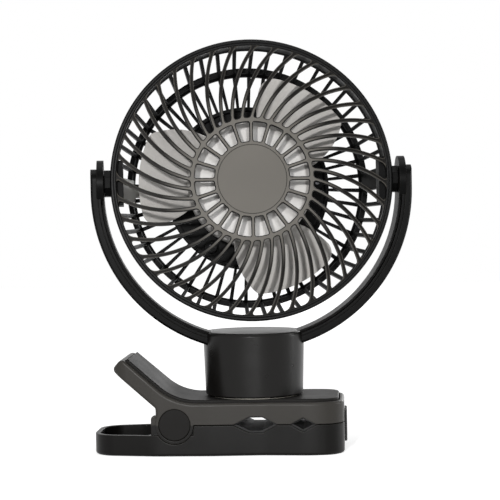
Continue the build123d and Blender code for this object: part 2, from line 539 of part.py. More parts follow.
def spring_path():
    """One wire: a leg in the tray, half turns that each climb in their own plane, and a leg at the handle."""
    lift = WIRE_R + SNUG
    foot = (-LEG_REACH, CLIP_FLOOR + TRAY_RIB + lift - HINGE_Z)
    grip_x, grip_z = slope_point(HINGE_X - GRIP_REACH * SLOPE_COS, COVER_DEPTH + HANDLE_WEB + GRIP_RIB + lift)
    grip = (grip_x - HINGE_X, grip_z - HINGE_Z)
    low, high = tangent_from(foot, 1), tangent_from(grip, -1)
    y, angle = -spring_width() / 2, pi / 2
    path = [Line((HINGE_X + foot[0], y, HINGE_Z + foot[1]), around_pin(COIL_R, low, y))]
    path.append(ThreePointArc(*[around_pin(COIL_R, a, y) for a in (low, (low + angle) / 2, angle)]))
    for climb in coil_climbs():
        bulge = hypot(2 * COIL_R, climb) / 2
        start, end = around_pin(COIL_R, angle, y), around_pin(COIL_R, angle + pi, y + climb)
        path.append(ThreePointArc(start, around_pin(bulge, angle + pi / 2, y + climb / 2), end))
        y, angle = y + climb, angle + pi
    finish = high + 2 * pi * round((angle + pi / 2 - high) / (2 * pi))
    path.append(ThreePointArc(*[around_pin(COIL_R, a, y) for a in (angle, (angle + finish) / 2, finish)]))
    path.append(Line(around_pin(COIL_R, finish, y), (grip_x, y, grip_z)))
    return path


def least_gap_to_itself(path):
    """The least gap between stretches of the spring's wire that aren't next to each other along it."""
    points, run = [], 0.0
    for edge in path:
        steps = max(2, round(edge.length / (WIRE_R / 2)))
        points += [(run + edge.length * i / steps, edge @ (i / steps)) for i in range(steps)]
        run += edge.length
    apart = 3 * COIL_R
    return min((a - b).length for s, a in points for t, b in points if t - s > apart) - 2 * WIRE_R


def clip_spring():
    path = spring_path()
    print("clip spring: least gap to itself", round(least_gap_to_itself(path), 2), "mm")
    route = Wire(path)
    return sweep(Plane(origin=route @ 0, z_dir=route % 0) * RegularPolygon(WIRE_R, WIRE_SIDES), route)


# ------------------------------------------------------------------ swivel on the clip
def swivel_hub():
    """The flanged stub that the post turns on, held down by the cover and keyed between two ribs."""
    flange_top = COVER_UNDER_Z - SNUG
    hub = turned_z([(0, DECK_Z), (HUB_FLANGE_R, DECK_Z), (HUB_FLANGE_R, flange_top), (HUB_R, flange_top),
                    (HUB_R, HUB_TOP_Z), (0, HUB_TOP_Z)])
    hub -= front_and_back(block(-FAR, FAR, HUB_R + HUB_FLAT, FAR, 0, flange_top))
    return hub - upright(SWIVEL_SCREW_R + SNUG / 2, 0, DECK_Z + CLEAR, HUB_TOP_Z + CLEAR)


def swivel_washer():
    inner, outer, top = SWIVEL_SCREW_R + SCREW_PLAY, HUB_R + WASHER_OUT, HUB_TOP_Z + WASHER_THICK
    return turned_z([(inner, HUB_TOP_Z), (outer, HUB_TOP_Z), (outer, top), (inner, top)])


def swivel_screw():
    return pan_screw(SWIVEL_HEAD_R, SWIVEL_HEAD_TALL, SWIVEL_SCREW_R, SWIVEL_SCREW_LONG,
                     (0, 0, HUB_TOP_Z + WASHER_THICK), (0, 0, -1))


def glide_ring():
    """A thin nylon ring on the cover that the post's foot slides on."""
    outer, top = POST_FOOT_R - GLIDE_SET_IN, POST_FOOT_Z - SNUG
    inner = outer - GLIDE_WIDE
    return turned_z([(inner, COVER_TOP_Z), (outer, COVER_TOP_Z), (outer, top), (inner, top)])


# ------------------------------------------------------------------ post, in its own frame, not yet swivelled
def yoke_space(clear):
    """The room that the yoke's half circle needs, with a clearance all round."""
    ring = Circle(YOKE_OUT_R + clear) - Circle(YOKE_IN_R - clear)
    return across(Plane.XZ * (Pos(0, YOKE_Z) * ring), YOKE_OUT_HALF + clear)


def post_wall_r(z):
    """Outer radius of the post at a height."""
    return POST_FOOT_R + POST_FLARE * (z - POST_FOOT_Z) / POST_TALL


def inside_post(z):
    """A bar that reaches halfway into the post's wall at a height, to trim what is fused to the wall."""
    return upright(post_wall_r(z) - POST_WALL / 2, 0, 0, FAR)


def post_shell():
    """The drum: a tapered wall on a floor, a ledge for the top plate, and seats for what is inside."""
    bore, seat_r, seat_z = HUB_R + RUN_FIT, POST_TOP_R - POST_WALL, POST_TOP_Z - POST_TOP_THICK
    foot = [(bore, POST_FOOT_Z), (POST_FOOT_R - FOOT_CORNER, POST_FOOT_Z),
            (POST_FOOT_R, POST_FOOT_Z + FOOT_CORNER)]
    shoulder = [(POST_TOP_R - set_in, POST_TOP_Z - down) for set_in, down in SHOULDER]
    ledge = [(seat_r, POST_TOP_Z), (seat_r, seat_z), (seat_r - LEDGE_WIDE, seat_z),
             (seat_r - LEDGE_WIDE, seat_z - LEDGE_TALL), (seat_r, seat_z - LEDGE_TALL - LEDGE_SLOPE)]
    floor = [(POST_FOOT_R - POST_WALL, POST_INSIDE_Z), (bore, POST_INSIDE_Z)]
    shell = turned_z(foot + shoulder + ledge + floor)
    shell += saddle() + battery_ribs() + board_rails()
    shell -= yoke_space(SNUG)
    shell -= along_y(BUTTON_R + RUN_FIT, 0, BUTTON_Z, BOARD_BACK, FAR)
    half_wide, half_tall = USB[0] / 2 + SCREW_PLAY, USB[2] / 2 + SCREW_PLAY
    shell -= block(-half_wide, half_wide, BOARD_BACK, FAR, USB_Z - half_tall, USB_Z + half_tall)
    shell -= [along_y(LIGHT_R + SNUG / 2, x, LIGHT_Z, BOARD_BACK, FAR) for x in light_places()]
    return shell - left_and_right(upright(SCREW_R + SNUG / 2, YOKE_SCREW_X, SADDLE_Z - CLEAR, POST_TOP_Z))


def saddle():
    """The beam inside the post that the yoke's lowest part lies in and is screwed to."""
    beam = block(-POST_TOP_R, POST_TOP_R, -SADDLE_HALF, SADDLE_HALF, SADDLE_Z, YOKE_LOW_Z + SADDLE_GRIP)
    return beam & inside_post(SADDLE_Z)


def battery_ribs():
    half = BATTERY[1] / 2
    rib = block(BATTERY_RIB_X - BATTERY_RIB_HALF, BATTERY_RIB_X + BATTERY_RIB_HALF, -half, half,
                POST_INSIDE_Z - BITE, BATTERY_Z)
    return left_and_right(rib)


def board_rails():
    """Two grooved rails that hold the upright circuit board's edges."""
    half, rail_top = BOARD_WIDE / 2, BOARD_Z + BOARD_TALL - RAIL_SHORT
    rail = block(half - RAIL_GRIP, half + RAIL_OUT, BOARD_Y - RAIL_FRONT, BOARD_BACK + RAIL_BACK,
                 POST_INSIDE_Z - BITE, rail_top)
    rail -= block(0, half + SNUG, BOARD_Y - SNUG, BOARD_BACK + SNUG, BOARD_Z, FAR)
    return left_and_right(rail & inside_post(BOARD_Z))


def post_top():
    """The round plate set into the post's top, over the yoke."""
    plate = upright(POST_TOP_R - POST_WALL - GROOVE / 2, 0, POST_TOP_Z - POST_TOP_THICK, POST_TOP_Z)
    return chamfer(plate.edges().group_by(Axis.Z)[-1], TOP_EDGE) - yoke_space(SNUG)


def battery_pack():
    long, wide, tall = BATTERY
    pack = block(-long / 2, long / 2, -wide / 2, wide / 2, BATTERY_Z, BATTERY_Z + tall)
    return fillet(pack.edges().filter_by(Axis.X), BATTERY_CORNER)


def control_board():
    half = BOARD_WIDE / 2
    return block(-half, half, BOARD_Y, BOARD_BACK, BOARD_Z, BOARD_Z + BOARD_TALL)


def usb_socket():
    """A folded steel shell round its mouth, with the contact tongue inside."""
    wide, deep, tall = USB
    half_wide, half_tall = wide / 2, tall / 2
    shell = block(-half_wide, half_wide, BOARD_BACK, BOARD_BACK + deep, USB_Z - half_tall, USB_Z + half_tall)
    shell = fillet(shell.edges().filter_by(Axis.Y), USB_CORNER)
    half_wide, half_tall = half_wide - USB_SHEET, half_tall - USB_SHEET
    mouth = block(-half_wide, half_wide, BOARD_BACK + USB_BACK, FAR, USB_Z - half_tall, USB_Z + half_tall)
    mouth = fillet(mouth.edges().filter_by(Axis.Y), USB_MOUTH_CORNER)
    half_wide = wide / 2 - USB_TONGUE_SET_IN
    tongue = block(-half_wide, half_wide, BOARD_BACK + USB_BACK - BITE, BOARD_BACK + deep - USB_TONGUE_SHORT,
                   USB_Z - USB_TONGUE_HALF, USB_Z + USB_TONGUE_HALF)
    return shell - mouth + tongue


def tact_switch():
    top = BOARD_BACK + SWITCH_DEEP
    body = block(-SWITCH_HALF, SWITCH_HALF, BOARD_BACK, top, BUTTON_Z - SWITCH_HALF, BUTTON_Z + SWITCH_HALF)
    return body + along_y(SWITCH_STEM_R, 0, BUTTON_Z, BOARD_BACK, top + SWITCH_STEM)


def power_button():
    """A round push button with a flange that keeps it behind the post's wall."""
    back = BOARD_BACK + SWITCH_DEEP + SWITCH_STEM + BUTTON_TRAVEL + SNUG
    cap = along_y(BUTTON_R, 0, BUTTON_Z, back, post_wall_r(BUTTON_Z) + BUTTON_PROUD)
    cap = chamfer(cap.edges().group_by(Axis.Y)[-1], BUTTON_EDGE)
    return cap + along_y(BUTTON_R + BUTTON_FLANGE, 0, BUTTON_Z, back, back + BUTTON_FLANGE)


def light_places():
    return [LIGHT_PITCH * (i - (LIGHT_COUNT - 1) / 2) for i in range(LIGHT_COUNT)]


def light_pipes():
    """Clear rods from the board to the post's surface."""
    outside = post_wall_r(LIGHT_Z)
    return [along_y(LIGHT_R, x, LIGHT_Z, BOARD_BACK, sqrt(outside ** 2 - x ** 2)) for x in light_places()]


# ------------------------------------------------------------------ yoke, in the post's frame
def yoke_leg_and_arc(section, top):
    """A (radius, y) section swept round the lower half circle and straight up both legs."""
    face = Pos(0, 0, YOKE_Z) * make_face(Polyline(*section, close=True))
    arc = revolve(face, Axis((0, 0, YOKE_Z), (0, 1, 0)), 180)
    return arc + left_and_right(extrude(face, top + YOKE_DROP, dir=(0, 0, 1)))


def pivot_disc(radius, x0, x1):
    """Round solids on the pivot axis, one at each side."""
    return left_and_right(rod(radius, (x0, 0, PIVOT_Z), (x1, 0, PIVOT_Z)))


def yoke_screw_holes(radius, bottom):
    return left_and_right(upright(radius, YOKE_SCREW_X, bottom, POST_TOP_Z))


def yoke_outer():
    """The outer moulding, which covers the inner one's ears at the top of its legs."""
    half, inside = YOKE_OUT_HALF, YOKE_SPLIT_R + SNUG / 2
    edge_r, edge_y = YOKE_OUT_R - YOKE_EDGE, half - YOKE_EDGE
    section = [(inside, -half), (edge_r, -half), (YOKE_OUT_R, -edge_y), (YOKE_OUT_R, edge_y), (edge_r, half),
               (inside, half)]
    yoke = yoke_leg_and_arc(section, YOKE_TOP)
    yoke = fillet(yoke.edges().filter_by(Axis.X).group_by(Axis.Z)[-1], YOKE_TOP_ROUND)
    yoke -= pivot_disc(EAR_R + SCREW_PLAY, 0, EAR_DISC_OUT + SNUG)
    yoke -= pivot_disc(PIVOT_WASHER_R + GROOVE, 0, YOKE_OUT_R - PIVOT_SKIN)
    return yoke - yoke_screw_holes(SCREW_R + SCREW_PLAY, SADDLE_Z)


def yoke_inner():
    """The inner moulding, an I-shaped strap that ends in two round ears."""
    skin, web, flange = YOKE_IN_R + STRAP_SKIN, YOKE_IN_R + STRAP_WEB, YOKE_SPLIT_R - SNUG / 2
    edge, waist, wide = YOKE_IN_HALF, YOKE_IN_HALF - STRAP_WAIST, YOKE_IN_HALF + STRAP_FLANGE
    half = [(YOKE_IN_R, edge), (skin, edge), (skin, waist), (web, waist), (web, wide), (flange, wide)]
    yoke = yoke_leg_and_arc([(r, -y) for r, y in half] + half[::-1], STRAP_TOP)
    yoke += pivot_disc(EAR_R, EAR_FACE_X, EAR_DISC_OUT)
    yoke -= pivot_disc(STUD_R + RUN_FIT, 0, FAR)
    yoke -= yoke_screw_holes(SCREW_R + SCREW_PLAY, SADDLE_Z)
    return yoke - yoke_screw_holes(SCREW_HEAD_R + SCREW_PLAY, YOKE_SCREW_SEAT)


def yoke_screws():
    length = YOKE_SCREW_SEAT - SADDLE_Z - GROOVE
    return left_and_right(pan_screw(SCREW_HEAD_R, SCREW_HEAD_TALL, SCREW_R, length,
                                    (YOKE_SCREW_X, 0, YOKE_SCREW_SEAT), (0, 0, -1)))


# ------------------------------------------------------------------ head, in its own frame
def front_grille():
    """The dished front guard: a disc, an inner ring, spokes, spiral ribs and a rim, from one pierced dish."""
    inside, spigot_r, spigot_end = RING_R - RIM_WIDTH, BOWL_R - SNUG, RIM_BACK_Y + SPIGOT_DEEP
    groove_r, groove_y = inside + RIM_GROOVE_AT, RIM_FRONT_Y + RIM_GROOVE_DEEP
    face = [(0, FACE_Y), (DOME_START_R, FACE_Y), (inside, DOME_END_Y)]
    rim = [(inside + RIM_LIP, RIM_FRONT_Y), (groove_r, RIM_FRONT_Y), (groove_r, groove_y),
           (groove_r + RIM_GROOVE_WIDE, groove_y), (groove_r + RIM_GROOVE_WIDE, RIM_FRONT_Y),
           (RING_R - RIM_CORNER, RIM_FRONT_Y), (RING_R, RIM_FRONT_Y + RIM_CORNER), (RING_R, RIM_BACK_Y)]
    spigot = [(spigot_r, RIM_BACK_Y), (spigot_r, spigot_end), (inside, spigot_end)]
    back = [(inside, DOME_END_Y + FACE_THICK), (DOME_START_R, FACE_Y + FACE_THICK), (0, FACE_Y + FACE_THICK)]
    dish = turned_y(face + rim + spigot + back)
    step_y = FACE_Y + STEP_DEEP
    front_y = FACE_Y - CLEAR
    dish -= along_y(STEP_R + STEP_WIDE, 0, 0, front_y, step_y) - along_y(STEP_R, 0, 0, front_y, step_y)
    dish -= [spun(spoke_window(), 360 / SPOKES * i) for i in range(SPOKES)]
    return dish - [spun(rib_window(), 360 / RIBS * i) for i in range(RIBS)]


def window_cut(face):
    """A window's cutter from its outline in the front view, drawn with z downwards."""
    return extrude(Plane((0, FACE_Y - CLEAR, 0), x_dir=(1, 0, 0), z_dir=(0, 1, 0)) * face, -2 * FACE_Y)


def drawn(radius, clockwise):
    """A point of the front view in the plane that window_cut draws on, whose second axis points down."""
    x, z = polar(radius, clockwise)
    return x, -z


def spoke_window():
    """The window between two spokes, inside the inner ring."""
    angle = 360 / SPOKES
    ring = Circle(INNER_RING_IN) - Circle(DISC_R)
    sector = make_face(Polyline((0, 0), drawn(RING_R, 0), drawn(RING_R, angle), close=True))
    spokes = [Rot(0, 0, a) * (Pos(0, -RING_R / 2) * Rectangle(SPOKE_WIDTH, RING_R)) for a in (0, angle)]
    window = ((ring & sector) - spokes).face()
    return window_cut(fillet(window.vertices(), WINDOW_ROUND))


def circle_through(p, q, r):
    """Centre and radius of the circle through three points."""
    d = 2 * (p[0] * (q[1] - r[1]) + q[0] * (r[1] - p[1]) + r[0] * (p[1] - q[1]))
    sp, sq, sr = p[0] ** 2 + p[1] ** 2, q[0] ** 2 + q[1] ** 2, r[0] ** 2 + r[1] ** 2
    x = (sp * (q[1] - r[1]) + sq * (r[1] - p[1]) + sr * (p[1] - q[1])) / d
    y = (sp * (r[0] - q[0]) + sq * (p[0] - r[0]) + sr * (q[0] - p[0])) / d
    return x, y, hypot(x - p[0], y - p[1])


def rib_window():
    """The window between two spiral ribs, from the inner ring to the rim."""
    x, y, sweep_r = circle_through(*[drawn(*place) for place in zip(RIB_RADII, RIB_ANGLES)])
    near = Pos(x, y) * Circle(sweep_r - RIB_WIDTH / 2)
    far = Rot(0, 0, 360 / RIBS) * (Pos(x, y) * Circle(sweep_r + RIB_WIDTH / 2))
    ring = Circle(RING_R - RIM_WIDTH - BITE) - Circle(INNER_RING_OUT)
    middle = Vector(*drawn(RIB_RADII[1], RIB_ANGLES[1] + 180 / RIBS), 0)
    return window_cut(((ring & near) - far).faces().sort_by_distance(middle)[0])


def rear_grille():
    """The bowl that carries the motor: wall, sloping side ribs, knee ring, flat back ribs and motor plate."""
    start_y, pitch = RIM_BACK_Y + BITE, 360 / REAR_RIBS
    knee_in = KNEE_R - KNEE_RING
    outer = [(WALL_OUT_R, start_y), (WALL_OUT_R, WALL_END_Y), (KNEE_R, KNEE_Y), (KNEE_R - KNEE_BEVEL, BACK_Y)]
    inner = [(knee_in, BACK_IN_Y), (knee_in + KNEE_SLOPE, BACK_IN_Y - KNEE_LIFT), (BOWL_R, WALL_END_Y),
             (BOWL_R, start_y)]
    bowl = turned_y(outer + [(0, BACK_Y), (0, BACK_IN_Y)] + inner)
    windows = [REAR_RIB_START + pitch * (i + 0.5) for i in range(REAR_RIBS)]
    bowl -= [spun(side_window(), angle) for angle in windows if abs(angle % 180 - 90) > BESIDE_PIVOT]
    bowl -= [spun(back_window(), angle) for angle in windows]
    bowl += turned_y([(LIP_R - LIP_WALL, BACK_IN_Y - LIP_TALL), (LIP_R, BACK_IN_Y - LIP_TALL),
                      (LIP_R, BACK_IN_Y + BITE), (LIP_R - LIP_WALL, BACK_IN_Y + BITE)])
    bowl += [along_y(BOSS_R, x, z, BACK_IN_Y - BOSS_TALL, BACK_IN_Y + BITE) for x, z in boss_places()]
    bowl -= [along_y(SCREW_R, x, z, 0, FAR) for x, z in boss_places()]
    bowl += pivot_bosses()
    bowl -= left_and_right(rod(SCREW_R, (BOWL_R - PIVOT_BLOCK[0] + BITE, 0, 0), (FAR, 0, 0)))
    bowl -= [along_y(SCREW_R + SNUG / 2, x, z, 0, BACK_Y - SNUG) for x, z in motor_screw_places()]
    return bowl - along_y(TUBE_R, 0, 0, 0, FAR)


def wedge_cut(points, rib):
    """A cutter with radial sides, astride the top: an outline turned through one pitch less a rib."""
    angle = 360 / REAR_RIBS - degrees(rib / max(radius for radius, _ in points))
    face = Plane((0, 0, 0), x_dir=(0, 0, 1), z_dir=(-1, 0, 0)) * make_face(Polyline(*points, close=True))
    return spun(revolve(face, Axis.Y, angle), -angle / 2)


def side_window():
    """The cutter of one slot in the sloping wall, at the top of the head."""
    y0, y1 = SIDE_SLOT
    inner = KNEE_R - 4 * WALL_THICK
    return wedge_cut([(inner, y0), (WALL_OUT_R, y0), (WALL_OUT_R, y1), (inner, y1)], REAR_RIB_WIDTH)


def back_window():
    """The cutter of one slot in the flat back, at the top of the head."""
    inner, outer, y0, y1 = PLATE_R, KNEE_R - KNEE_RING, BACK_IN_Y - CLEAR, BACK_Y + CLEAR
    return wedge_cut([(inner, y0), (outer, y0), (outer, y1), (inner, y1)], REAR_RIB_WIDTH)


def boss_places():
    return [polar(BOSS_PITCH_R, angle) for angle in BOSS_ANGLES]


def pivot_bosses():
    """At each side a block inside the wall, an octagonal boss outside it and the stud for the ear."""
    deep, back, tall = PIVOT_BLOCK
    root = BOWL_R + 2 * BITE
    plane = Plane(origin=(root, 0, 0), x_dir=(0, 1, 0), z_dir=(1, 0, 0))
    octagon = plane * (Rot(0, 0, 22.5) * RegularPolygon(STUD_R + PIVOT_BOSS_WALL, 8, major_radius=False))
    boss = extrude(octagon, EAR_FACE_X - MOVE_GAP - root)
    boss += rod(STUD_R, (BOWL_R, 0, 0), (EAR_DISC_OUT + SNUG, 0, 0))
    front = RIM_BACK_Y + SPIGOT_DEEP + 2 * BITE
    inside = block(BOWL_R - deep, BOWL_R + 4 * BITE, front, front + back, -tall / 2, tall / 2)
    return left_and_right(boss + inside)


def rear_cover():
    """The shallow dome that closes the back of the motor plate."""
    edge_r, face_y = PLATE_R - DOME_SET_IN, BACK_Y + SNUG
    outer = [(edge_r - set_in, face_y + back) for set_in, back in REAR_DOME]
    inner = [(edge_r - set_in - DOME_WALL, face_y + max(0, back - DOME_WALL)) for set_in, back in REAR_DOME]
    top = face_y + REAR_DOME[-1][1]
    cover = turned_y(outer + [(0, top), (0, top - DOME_WALL)] + inner[::-1])
    whole = turned_y(outer + [(0, top), (0, face_y)])
    for x, z in boss_places():
        cover += along_y(BOSS_R, x, z, face_y, top) & whole
        cover -= along_y(SCREW_R + SCREW_PLAY, x, z, 0, FAR)
        cover -= along_y(SCREW_HEAD_R + MOVE_GAP, x, z, face_y + COVER_SCREW_SEAT, FAR)
    return cover


def cover_screws():
    y, shank_r = BACK_Y + SNUG + COVER_SCREW_SEAT, SCREW_R - SNUG / 2
    return [pan_screw(SCREW_HEAD_R, SCREW_HEAD_TALL, shank_r, COVER_SCREW_LONG, (x, y, z), (0, -1, 0))
            for x, z in boss_places()]


def pivot_washers():
    inner = PIVOT_SEAT_X - PIVOT_WASHER_THICK
    washer = rod(PIVOT_WASHER_R, (inner, 0, 0), (PIVOT_SEAT_X, 0, 0))
    return left_and_right(washer - rod(SCREW_R + SNUG, (inner, 0, 0), (PIVOT_SEAT_X, 0, 0)))


def pivot_screws():
    return left_and_right(pan_screw(PIVOT_HEAD_R, PIVOT_HEAD_TALL, SCREW_R - SNUG / 2, PIVOT_SCREW_LONG,
                                    (PIVOT_SEAT_X, 0, 0), (-1, 0, 0)))


def wire_cover_line(gap):
    """The strip's (y, z) line along the inside of the bowl, at a gap from it, at the top of the head."""
    start_y, start_r = WALL_END_Y + WIRE_COVER_START, BOWL_R - WIRE_COVER_LEAN
    bend_y, bend_r = BACK_IN_Y - KNEE_LIFT - BITE, KNEE_R - KNEE_BEVEL
    knee_r = KNEE_R - KNEE_RING - WIRE_COVER_KNEE
    return [(start_y, start_r - gap), (bend_y - gap / 2, bend_r - gap),
            (BACK_IN_Y - gap, knee_r - gap * WIRE_COVER_MITRE), (BACK_IN_Y - gap, LIP_R + SNUG)]


def wire_cover():
    """The pale strip that covers the leads from the left pivot to the motor, inside the rear grille."""
    half_wide, slim = WIRE_COVER_WIDE / 2, WIRE_COVER_NARROW / 2
    gap = SNUG + BOWL_R - sqrt(BOWL_R ** 2 - half_wide ** 2)
    outline = wire_cover_line(gap) + wire_cover_line(gap + WIRE_COVER_THICK)[::-1]
    strip = extrude(Plane.YZ * make_face(Polyline(*outline, close=True)), half_wide, both=True)
    strip -= left_and_right(block(slim, FAR, -FAR, FAR, 0, KNEE_R - WALL_THICK - KNEE_SLOPE))
    return spun(strip, WIRE_ANGLE)


# ------------------------------------------------------------------ motor, in the head's frame
def motor_screw_places():
    return [polar(MOTOR_FLANGE_R - MOTOR_SCREW_IN, angle) for angle in MOTOR_SCREW_ANGLES]


def motor_base():
    """The flange with the bearing tube that carries the stator."""
    back, tube_end = BACK_IN_Y - SNUG / 2, STATOR_FRONT_Y - TUBE_PROUD
    flange_y = back - MOTOR_FLANGE_THICK
    base = turned_y([(TUBE_BORE, tube_end), (TUBE_R, tube_end), (TUBE_R, flange_y - MOTOR_FLARE),
                     (MOTOR_FLANGE_R, flange_y), (MOTOR_FLANGE_R, back), (TUBE_BORE, back)])
    for x, z in motor_screw_places():
        base -= along_y(SCREW_R + SCREW_PLAY, x, z, 0, FAR)
        base -= along_y(SCREW_HEAD_R + SCREW_PLAY, x, z, 0, MOTOR_SEAT_Y)
    return base


def motor_screws():
    length = BACK_Y - MOTOR_SEAT_Y - GROOVE
    return [pan_screw(SCREW_HEAD_R, SCREW_HEAD_TALL, SCREW_R, length, (x, MOTOR_SEAT_Y, z), (0, 1, 0))
            for x, z in motor_screw_places()]


def stator_core():
    """The laminated star on the bearing tube."""
    ring_r, tip_r = TUBE_R + STATOR_RING, STATOR_R - TOOTH_TIP_DEEP
    tooth = Pos(0, (ring_r + tip_r) / 2) * Rectangle(TOOTH_WIDE, tip_r - ring_r + 2 * BITE)
    tip = (Circle(STATOR_R) - Circle(tip_r)) & (Pos(0, STATOR_R) * Rectangle(TOOTH_TIP_WIDE, TOOTH_TIP_WIDE))
    star = Circle(ring_r) - Circle(TUBE_R + SNUG / 2)
    for i in range(STATOR_TEETH):
        turn = Rot(0, 0, 360 / STATOR_TEETH * i)
        star += turn * tooth
        star += turn * tip
    middle, half = (STATOR_FRONT_Y + STATOR_BACK_Y) / 2, (STATOR_BACK_Y - STATOR_FRONT_Y) / 2
    return Pos(0, middle, 0) * across(Plane.XZ * star, half)


def stator_coils():
    """The copper winding on each tooth."""
    low, high = TUBE_R + STATOR_RING + MOVE_GAP, STATOR_R - COIL_ROOM
    inside = TOOTH_WIDE / 2 + SNUG / 2
    front, back = STATOR_FRONT_Y - COIL_OVERHANG, STATOR_BACK_Y + COIL_OVERHANG
    coil = block(-COIL_HALF_WIDE, COIL_HALF_WIDE, front, back, low, high)
    coil -= block(-inside, inside, STATOR_FRONT_Y - SNUG / 2, STATOR_BACK_Y + SNUG / 2, 0, FAR)
    return [spun(coil, 360 / STATOR_TEETH * i) for i in range(STATOR_TEETH)]


def bearings():
    inner, outer = SHAFT_R + BEARING_GAP, TUBE_BORE - BEARING_GAP
    ring = turned_y([(inner, 0), (outer, 0), (outer, BEARING_WIDE), (inner, BEARING_WIDE)])
    front = STATOR_FRONT_Y - TUBE_PROUD + BEARING_INSETS[0]
    back = BACK_IN_Y - BEARING_WIDE - BEARING_INSETS[1]
    return [Pos(0, y, 0) * ring for y in (front, back)]


def shaft():
    return along_y(SHAFT_R, 0, 0, HUB_FRONT_Y + SHAFT_SEAT, BACK_IN_Y - SHAFT_SHORT)


def rotor_can():
    """The steel cup that carries the magnets round the stator."""
    bore, inside, face = SHAFT_R + BEARING_GAP, CAN_R - CAN_WALL, CAN_FRONT_Y + CAN_WALL
    boss_end = CAN_FRONT_Y + CAN_BOSS_TALL
    return turned_y([(bore, CAN_FRONT_Y), (CAN_R, CAN_FRONT_Y), (CAN_R, CAN_BACK_Y), (inside, CAN_BACK_Y),
                     (inside, face), (CAN_BOSS_R, face), (CAN_BOSS_R, boss_end), (bore, boss_end)])


def magnet_ring():
    outer = CAN_R - CAN_WALL - SNUG / 2
    inner, front, back = outer - MAGNET_THICK, CAN_FRONT_Y + MAGNET_SHORT, CAN_BACK_Y - MAGNET_SHORT
    return turned_y([(inner, front), (outer, front), (outer, back), (inner, back)])


def impeller():
    """The glossy hub cup with three broad twisted blades."""
    bore, boss_end = SHAFT_R + BEARING_GAP, CAN_FRONT_Y - SNUG
    outer = [(HUB_RIM_R - set_in, HUB_FRONT_Y + back) for set_in, back in HUB_BEVEL]
    inner_r, face_r = HUB_RIM_R - HUB_WALL, HUB_RIM_R - HUB_BEVEL[0][0] - GROOVE
    web_y, seat_y = HUB_FRONT_Y + HUB_WALL, HUB_FRONT_Y + SHAFT_SEAT
    inner = [(inner_r, HUB_BACK_Y), (inner_r, HUB_FRONT_Y + HUB_BEVEL[-1][1]), (face_r, web_y)]
    socket = [(HUB_BOSS_R, web_y), (HUB_BOSS_R, boss_end), (bore, boss_end), (bore, seat_y), (0, seat_y)]
    hub = turned_y([(0, HUB_FRONT_Y)] + outer + [(HUB_RIM_R, HUB_BACK_Y)] + inner + socket)
    return hub + [spun(blade(), 360 / BLADES * i) for i in range(BLADES)]


def blade():
    """One blade: a cambered slab that twists from root to tip, cut to its outline as seen from the front."""
    rise_per_radian = BLADE_RISE / radians(BLADE_TRAIL - BLADE_LEAD)
    half = BLADE_THICK / 2
    sections = []
    for radius, reach in ((BLADE_ROOT_R, BLADE_ROOT_HALF), (BLADE_TIP_R + CLEAR, BLADE_TIP_HALF)):
        rise, camber = rise_per_radian / radius * reach, BLADE_CAMBER * reach
        low = ThreePointArc((-reach, rise - half), (0, camber - half), (reach, -rise - half))
        high = ThreePointArc((-reach, rise + half), (0, camber + half), (reach, -rise + half))
        face = make_face([low, high, Line(low @ 0, high @ 0), Line(low @ 1, high @ 1)])
        sections.append(Pos(0, BLADE_MID_Y, radius) * face)
    slab = spun(loft(sections, ruled=True), (BLADE_LEAD + BLADE_TRAIL) / 2)
    return slab & across(Plane.XZ * blade_outline(), FAR)


def polar_arc(*places):
    """An arc through three (radius, clockwise angle) places of the front view."""
    return ThreePointArc(*[polar(*place) for place in places])


def blade_outline():
    """The blade from the front: root arc, bulging leading edge, tip arc and sloping trailing edge."""
    root, tip_r = HUB_RIM_R - HUB_WALL / 2, BLADE_TIP_R
    middle_r, middle_a = (root + tip_r) / 2, (BLADE_LEAD + BLADE_TRAIL) / 2
    lead = polar_arc((root, BLADE_LEAD), (middle_r, BLADE_LEAD - BLADE_LEAD_BULGE), (tip_r, BLADE_TIP_LEAD))
    tip = polar_arc((tip_r, BLADE_TIP_LEAD), (tip_r, middle_a), (tip_r, BLADE_TIP_TRAIL))
    bow_a = (BLADE_TRAIL + BLADE_TIP_TRAIL) / 2 + BLADE_TRAIL_BULGE
    trail = polar_arc((tip_r, BLADE_TIP_TRAIL), (middle_r, bow_a), (root, BLADE_TRAIL))
    foot = polar_arc((root, BLADE_TRAIL), (root, middle_a), (root, BLADE_LEAD))
    outline = make_face([lead, tip, trail, foot])
    for corner, radius in zip((tip @ 0, tip @ 1), BLADE_CORNERS):
        outline = fillet(outline.vertices().sort_by_distance(corner)[0], radius)
    return outline


# ------------------------------------------------------------------ assembly
ON_CLIP = Pos(0, 0, 0)
ON_POST = Rot(0, 0, SWIVEL_AT_REST)
ON_HEAD = Pos(0, 0, PIVOT_Z) * Rot(0, 0, SWIVEL_AT_REST) * Rot(-TILT_AT_REST, 0, 0)

CLIP_PIECES = [lower_jaw, upper_jaw, top_cover, lower_jaw_pad, upper_jaw_pad, hinge_pin, hinge_caps,
               spring_sleeve, clip_spring, swivel_hub, swivel_washer, swivel_screw, glide_ring]
POST_PIECES = [post_shell, post_top, battery_pack, control_board, usb_socket, tact_switch, power_button,
               light_pipes, yoke_outer, yoke_inner, yoke_screws]
HEAD_PIECES = [front_grille, rear_grille, rear_cover, cover_screws, pivot_washers, pivot_screws, wire_cover,
               motor_base, motor_screws, stator_core, stator_coils, bearings, shaft, rotor_can, magnet_ring,
               impeller]


def write(name, shape, place):
    """Write one sub-part as a STEP file in its place at rest."""
    pieces = shape if isinstance(shape, list) else [shape]
    solids = [place * solid for piece in pieces for solid in piece.solids()]
    export_step(Compound(solids) if len(solids) > 1 else solids[0], f"parts/{name}.step")


